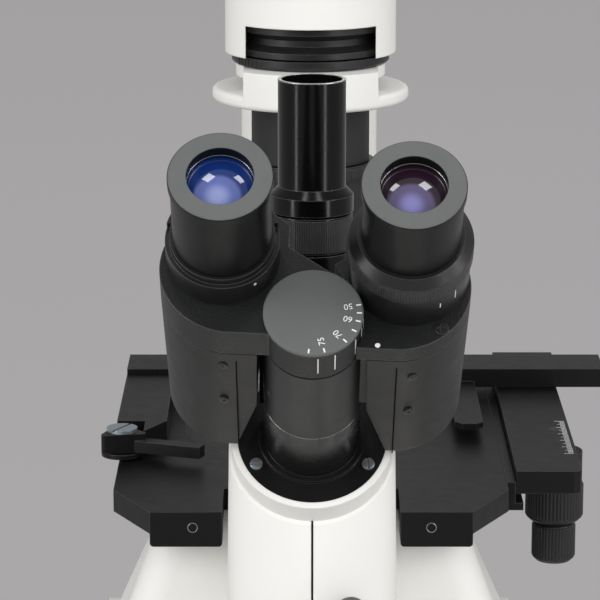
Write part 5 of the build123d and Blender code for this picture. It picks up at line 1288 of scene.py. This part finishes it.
@dataclass
class FocusDrive:
    """The coaxial focus knobs on both sides."""

    shaft_y: float = 148.0
    shaft_z: float = 58.0
    coarse_r: float = 25.0
    coarse_in: float = 103.3
    coarse_h: float = 14.7
    coarse_margin: float = 2.2
    fine_r: float = 16.0
    fine_in: float = 118.3
    fine_rib_lead: float = 4.4
    fine_rib_h: float = 6.0
    fine_line_lead: float = 2.4
    fine_marks: int = 50

    def build(self) -> None:
        """Ribs the knobs on both sides and prints the fine knob's lines."""
        for name, out in (("left", -RIGHT), ("right", RIGHT)):
            middle = Spot(Vector((0, self.shaft_y, self.shaft_z)), out, BACK)
            KnurlBand(f"{name}_coarse_ribs", middle.lifted(self.coarse_in + self.coarse_margin),
                      self.coarse_r, self.coarse_h - 2 * self.coarse_margin, ridges=72, depth=0.6,
                      finish=PLASTIC, body="coarse").build()
            KnurlBand(f"{name}_fine_ribs", middle.lifted(self.fine_in + self.fine_rib_lead), self.fine_r,
                      self.fine_rib_h, ridges=60, depth=0.45, finish=PLASTIC, body="fine").build()
            ring = middle.lifted(self.fine_in + self.fine_line_lead).point
            lines = []
            for number in range(self.fine_marks):
                turn = 2 * math.pi * number / self.fine_marks
                way = Vector((0, math.cos(turn), math.sin(turn)))
                lines.append((Spot(ring + way * self.fine_r, way, out), line_length(number, FINE_LINES)))
            TickRow(f"{name}_fine_lines", 0.25, "fine", proud=0.05).build(lines)


LAMP_LINES = {5: 3.6, 1: 2.2}


@dataclass
class Base:
    """The foot of the stand: its switch, socket, lamp knob and underside screws."""

    rear_y: float = 236.0
    panel_z: float = 31.0
    inlet_x: float = 48.0
    inlet_screw_xs: Pair = (-20.5, 20.5)
    flange_proud: float = 2.0
    pin_floor: float = 16.2
    pin_size: Triple = (2.0, 4.0, 11.0)
    pins: Tuple[Pair, ...] = ((0.0, 3.0), (-7.0, -2.0), (7.0, -2.0))
    sign_x: float = -59.0
    sign_z: float = 6.5
    sign_h: float = 3.6
    plate_z: float = 10.0
    plate_xs: Pair = (-98.0, 98.0)
    plate_ys: Triple = (-105.0, 40.0, 215.0)
    knob_face_x: float = 125.3
    wall_x: float = 112.0
    knob_y: float = -22.0
    knob_r: float = 11.0
    grip_lead: float = 2.7
    grip_h: float = 8.6
    pointer_up: float = 6.5
    pointer: float = 6.0
    scale_out: float = 4.0
    scale_start: float = 225.0
    scale_step: float = 27.0
    scale_marks: int = 11

    def on_rear(self, x: float, out: float, z: float) -> Spot:
        """Returns a place on the rear panel, so far out of the wall and above the panel's middle."""
        return Spot(Vector((x, self.rear_y + out, self.panel_z + z)), BACK, -RIGHT)

    def rear(self) -> None:
        """Sets the socket's screws and pins, the switch's signs and the screws of the bottom plate."""
        Screw("inlet_screw", Drive.CROSS, 2.4, 0.9, ZINC).set([
            (self.on_rear(self.inlet_x + x, self.flange_proud - 0.1, 0.0), "stand")
            for x in self.inlet_screw_xs])
        first, *others = [self.on_rear(self.inlet_x + x, -self.pin_floor, z) for x, z in self.pins]
        pin = Bench.block("inlet_pin_1", first, self.pin_size)
        Bench.soften(0.4)
        Bench.settle(pin, STEEL, "stand")
        for number, goal in enumerate(others, start=2):
            Bench.again(pin, f"inlet_pin_{number}", first, goal, "stand")
        for name, text, z in (("on", "I", self.sign_z), ("off", "O", -self.sign_z)):
            spot = self.on_rear(self.sign_x, 0.01, z)
            Bench.words(f"switch_{name}", text, spot, self.sign_h, SATIN, "stand")
        Screw("plate_screw_under", Drive.CROSS, 3.0, 1.2, ZINC).set([
            (Spot(Vector((x, y, self.plate_z + 0.1)), -UP, Vector((0.6, 0.8, 0))), "stand")
            for x in self.plate_xs for y in self.plate_ys])

    def lamp_knob(self) -> None:
        """Ribs the lamp knob and prints its scale and its line."""
        middle = Vector((self.wall_x, self.knob_y, self.panel_z))
        KnurlBand("brightness_ribs", Spot(middle, RIGHT, UP).lifted(self.grip_lead), self.knob_r, self.grip_h,
                  ridges=44, depth=0.45, finish=PLASTIC, body="brightness").build()
        lines = []
        for number in range(self.scale_marks):
            turn = math.radians(self.scale_start - self.scale_step * number)
            way = Vector((0, math.cos(turn), math.sin(turn)))
            spot = Spot(middle + way * (self.knob_r + self.scale_out), RIGHT, way)
            lines.append((spot, line_length(number, LAMP_LINES)))
        TickRow("brightness_scale", 0.6, "stand", finish=SATIN).build(lines)
        face = Vector((self.knob_face_x, self.knob_y, self.panel_z + self.pointer_up))
        TickRow("brightness_line", 0.8, "brightness").build([(Spot(face, RIGHT, UP), self.pointer)])

    def build(self) -> None:
        """Fits the rear and the lamp knob."""
        self.rear()
        self.lamp_knob()


@dataclass
class Studio:
    """The floor, the lamps and the camera."""

    camera_mm: Triple = (-5.5, -1240.0, 563.6)
    pitch_deg: float = 13.3
    focal_px: float = 3050.0
    frame_px: float = 600.0
    shift: float = 0.0042
    sensor_mm: float = 36.0
    aim: Triple = (0.0, -0.06, 0.27)
    floor_size: float = 24.0
    even_share: float = 0.75
    room_light: float = 0.62

    def camera(self) -> None:
        """Sets the camera at the picture's angle."""
        lens = bpy.data.cameras.new("camera")
        lens.sensor_width = self.sensor_mm
        lens.lens = self.focal_px / self.frame_px * self.sensor_mm
        lens.shift_x = self.shift
        lens.clip_start = 0.01
        eye = bpy.data.objects.new("camera", lens)
        eye.location = Vector(self.camera_mm) * MM
        eye.rotation_euler = Euler((math.radians(90.0 - self.pitch_deg), 0.0, 0.0))
        bpy.context.scene.collection.objects.link(eye)
        bpy.context.scene.camera = eye

    def lamp(self, name: str, place: Triple, size: Pair, power: float, mirrored: bool = True) -> None:
        """Hangs one soft lamp that faces the part.

        Args:
            name: Its name.
            place: Where it hangs, in metres.
            size: Its width and height, in metres.
            power: Its power in watts.
            mirrored: Whether shiny surfaces show it.
        """
        light = bpy.data.lights.new(name, "AREA")
        light.shape = "RECTANGLE"
        light.size, light.size_y = size
        light.energy = power
        box = bpy.data.objects.new(name, light)
        box.location = place
        box.rotation_euler = (Vector(self.aim) - Vector(place)).to_track_quat("-Z", "Y").to_euler()
        box.visible_camera = False
        box.visible_glossy = mirrored
        bpy.context.scene.collection.objects.link(box)

    def floor(self) -> None:
        """Lays the pale floor, which keeps the part's shadow and looks even to the camera."""
        Bench.clear()
        bpy.ops.mesh.primitive_plane_add(size=self.floor_size, location=(0, 0, 0))
        sheet = bpy.context.object
        sheet.name = "floor"
        recipe = Recipe("floor_grey")
        cloud = recipe.noise(3.0, 3.0)
        paper = recipe.node("ShaderNodeBsdfPrincipled", {}, {
            "Base Color": recipe.mix(cloud, tone(176, 174, 174), tone(180, 178, 178)), "Roughness": 0.8})
        even = recipe.node("ShaderNodeEmission", {}, {"Color": tone(174, 172, 172), "Strength": 1.0})
        rays = [recipe.node("ShaderNodeLightPath", {}, {}, ray)
                for ray in ("Is Camera Ray", "Is Glossy Ray", "Is Transmission Ray")]
        seen = recipe.maths("MINIMUM", rays[0] + rays[1] + rays[2], 1.0) * self.even_share
        both = recipe.node("ShaderNodeMixShader", {}, {0: seen, 1: paper, 2: even})
        sheet.data.materials.append(recipe.close(both))

    def build(self) -> None:
        """Builds the whole set."""
        self.camera()
        self.floor()
        self.lamp("front", (0.0, -2.3, 1.35), (2.4, 1.4), 33.0, mirrored=False)
        self.lamp("left_box", (-1.6, -0.9, 1.1), (0.7, 1.4), 15.0)
        self.lamp("right_box", (1.6, -0.9, 1.1), (0.7, 1.4), 15.0)
        self.lamp("back_box", (0.5, 1.5, 2.3), (1.4, 1.2), 7.0)
        self.lamp("left_window", (-0.26, -0.3, 1.6), (0.15, 0.18), 0.5)
        self.lamp("right_window", (0.27, -0.3, 1.6), (0.15, 0.18), 0.5)
        self.lamp("left_strip", (-0.73, -0.62, 0.16), (0.1, 0.3), 0.5)
        self.lamp("right_strip", (0.64, -0.73, 0.16), (0.1, 0.3), 0.5)
        world = bpy.data.worlds.new("room")
        world.use_nodes = True
        back = world.node_tree.nodes["Background"]
        back.inputs["Color"].default_value = tone(190, 190, 192)
        back.inputs["Strength"].default_value = self.room_light
        bpy.context.scene.world = world
        bpy.context.scene.view_settings.view_transform = "Standard"


def eye_glass(name: str, eye: Pair, head: Head, film: Tuple[Colour, Colour, Colour]) -> CoatedGlass:
    """Makes the coated glass of one eye lens, with its painted reflection.

    Args:
        name: The finish's name.
        eye: The lens's place on the head.
        head: The head that it sits in.
        film: The coating's colour at the edge, then the painted reflection's outer and inner colours.

    Returns:
        The finish.
    """
    # The painted reflection is centred 1 mm left of and 5 mm in front of the lens's middle.
    middle = head.at(eye[0] - 1.0, eye[1] - 5.0, head.lens_top).point
    return CoatedGlass(name, "glass", *film, (middle.x, middle.y, middle.z), head.lens_r)


def dress_nodes(head: Head) -> None:
    """Gives every solid of the frame its finish.

    Args:
        head: The head, for the places of its lenses.
    """
    # Coating colour, then the painted reflection's outer and inner colours, for each eye lens.
    blue_film_and_reflection = (tone(18, 46, 112), tone(88, 102, 164), tone(138, 148, 196))
    plum_film_and_reflection = (tone(38, 22, 36), tone(88, 78, 112), tone(124, 122, 176))
    left_glass = eye_glass("left_eye_glass", head.left_eye, head, blue_film_and_reflection)
    right_glass = eye_glass("right_eye_glass", head.right_eye, head, plum_film_and_reflection)
    finishes: Dict[Surface, Tuple[str, ...]] = {
        WHITE: ("base_casting", "neck_cover_left", "neck_cover_right", "head_collar", "illuminator_column",
                "lamp_housing", "lamp_cap", "condenser_carrier"),
        GLOSS: ("head_barrel",),
        SLEEVE: ("right_hinge_sleeve",),
        CHARCOAL: ("left_prism_cover", "right_prism_cover"),
        CRINKLE: ("left_arm_plate", "right_arm_plate"),
        DIAL: ("ipd_dial",),
        EYEPIECE: ("left_eyepiece", "right_eyepiece"),
        TURNED_HEAD: ("left_tube_collar", "diopter_ring"),
        TURNED_UP: ("photo_tube", "photo_tube_base", "photo_lock_ring"),
        left_glass: ("left_eye_lens",),
        right_glass: ("right_eye_lens",),
        CLEAR: ("halogen_bulb", "collector_lens", "condenser_lens"),
        MATT: ("condenser_barrel", "stage_insert", "nosepiece_carrier"),
        SATIN: ("filter_ring", "field_iris_ring", "aperture_ring", "tension_ring", "turret", "selector_rod"),
        STAGE: ("stage_plate", "stage_guide", "y_carriage", "cross_bar", "left_holder", "spring_finger"),
        ZINC: ("base_plate", "pivot_screw"),
        STEEL: ("focus_shaft", "focus_rack"),
        CHROME: ("objective_4x", "objective_10x", "objective_20x", "objective_40x"),
        MIRROR: ("path_mirror",),
        CERAMIC: ("lamp_socket",),
        PLASTIC: ("mains_inlet", "power_rocker", "coarse_knobs", "fine_knobs", "x_drive_knob", "y_drive_knob",
                  "brightness_knob"),
        RUBBER: ("rubber_feet",),
    }
    for finish, names in finishes.items():
        for name in names:
            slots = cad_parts[name].data.materials
            slots.clear()
            slots.append(finish.material())
            LOG.info("%s in %s", name, finish.name)


def main() -> None:
    """Builds the set, dresses the solids and models every small piece."""
    logging.basicConfig(level=logging.INFO, format="%(message)s")
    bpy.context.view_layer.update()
    head = Head()
    Studio().build()
    dress_nodes(head)
    for assembly in (head, PhotoPort(), PathSelector(), Illuminator(), MechanicalStage(), Nosepiece(),
                     FocusDrive(), Base()):
        assembly.build()


if __name__ == "__main__":
    main()
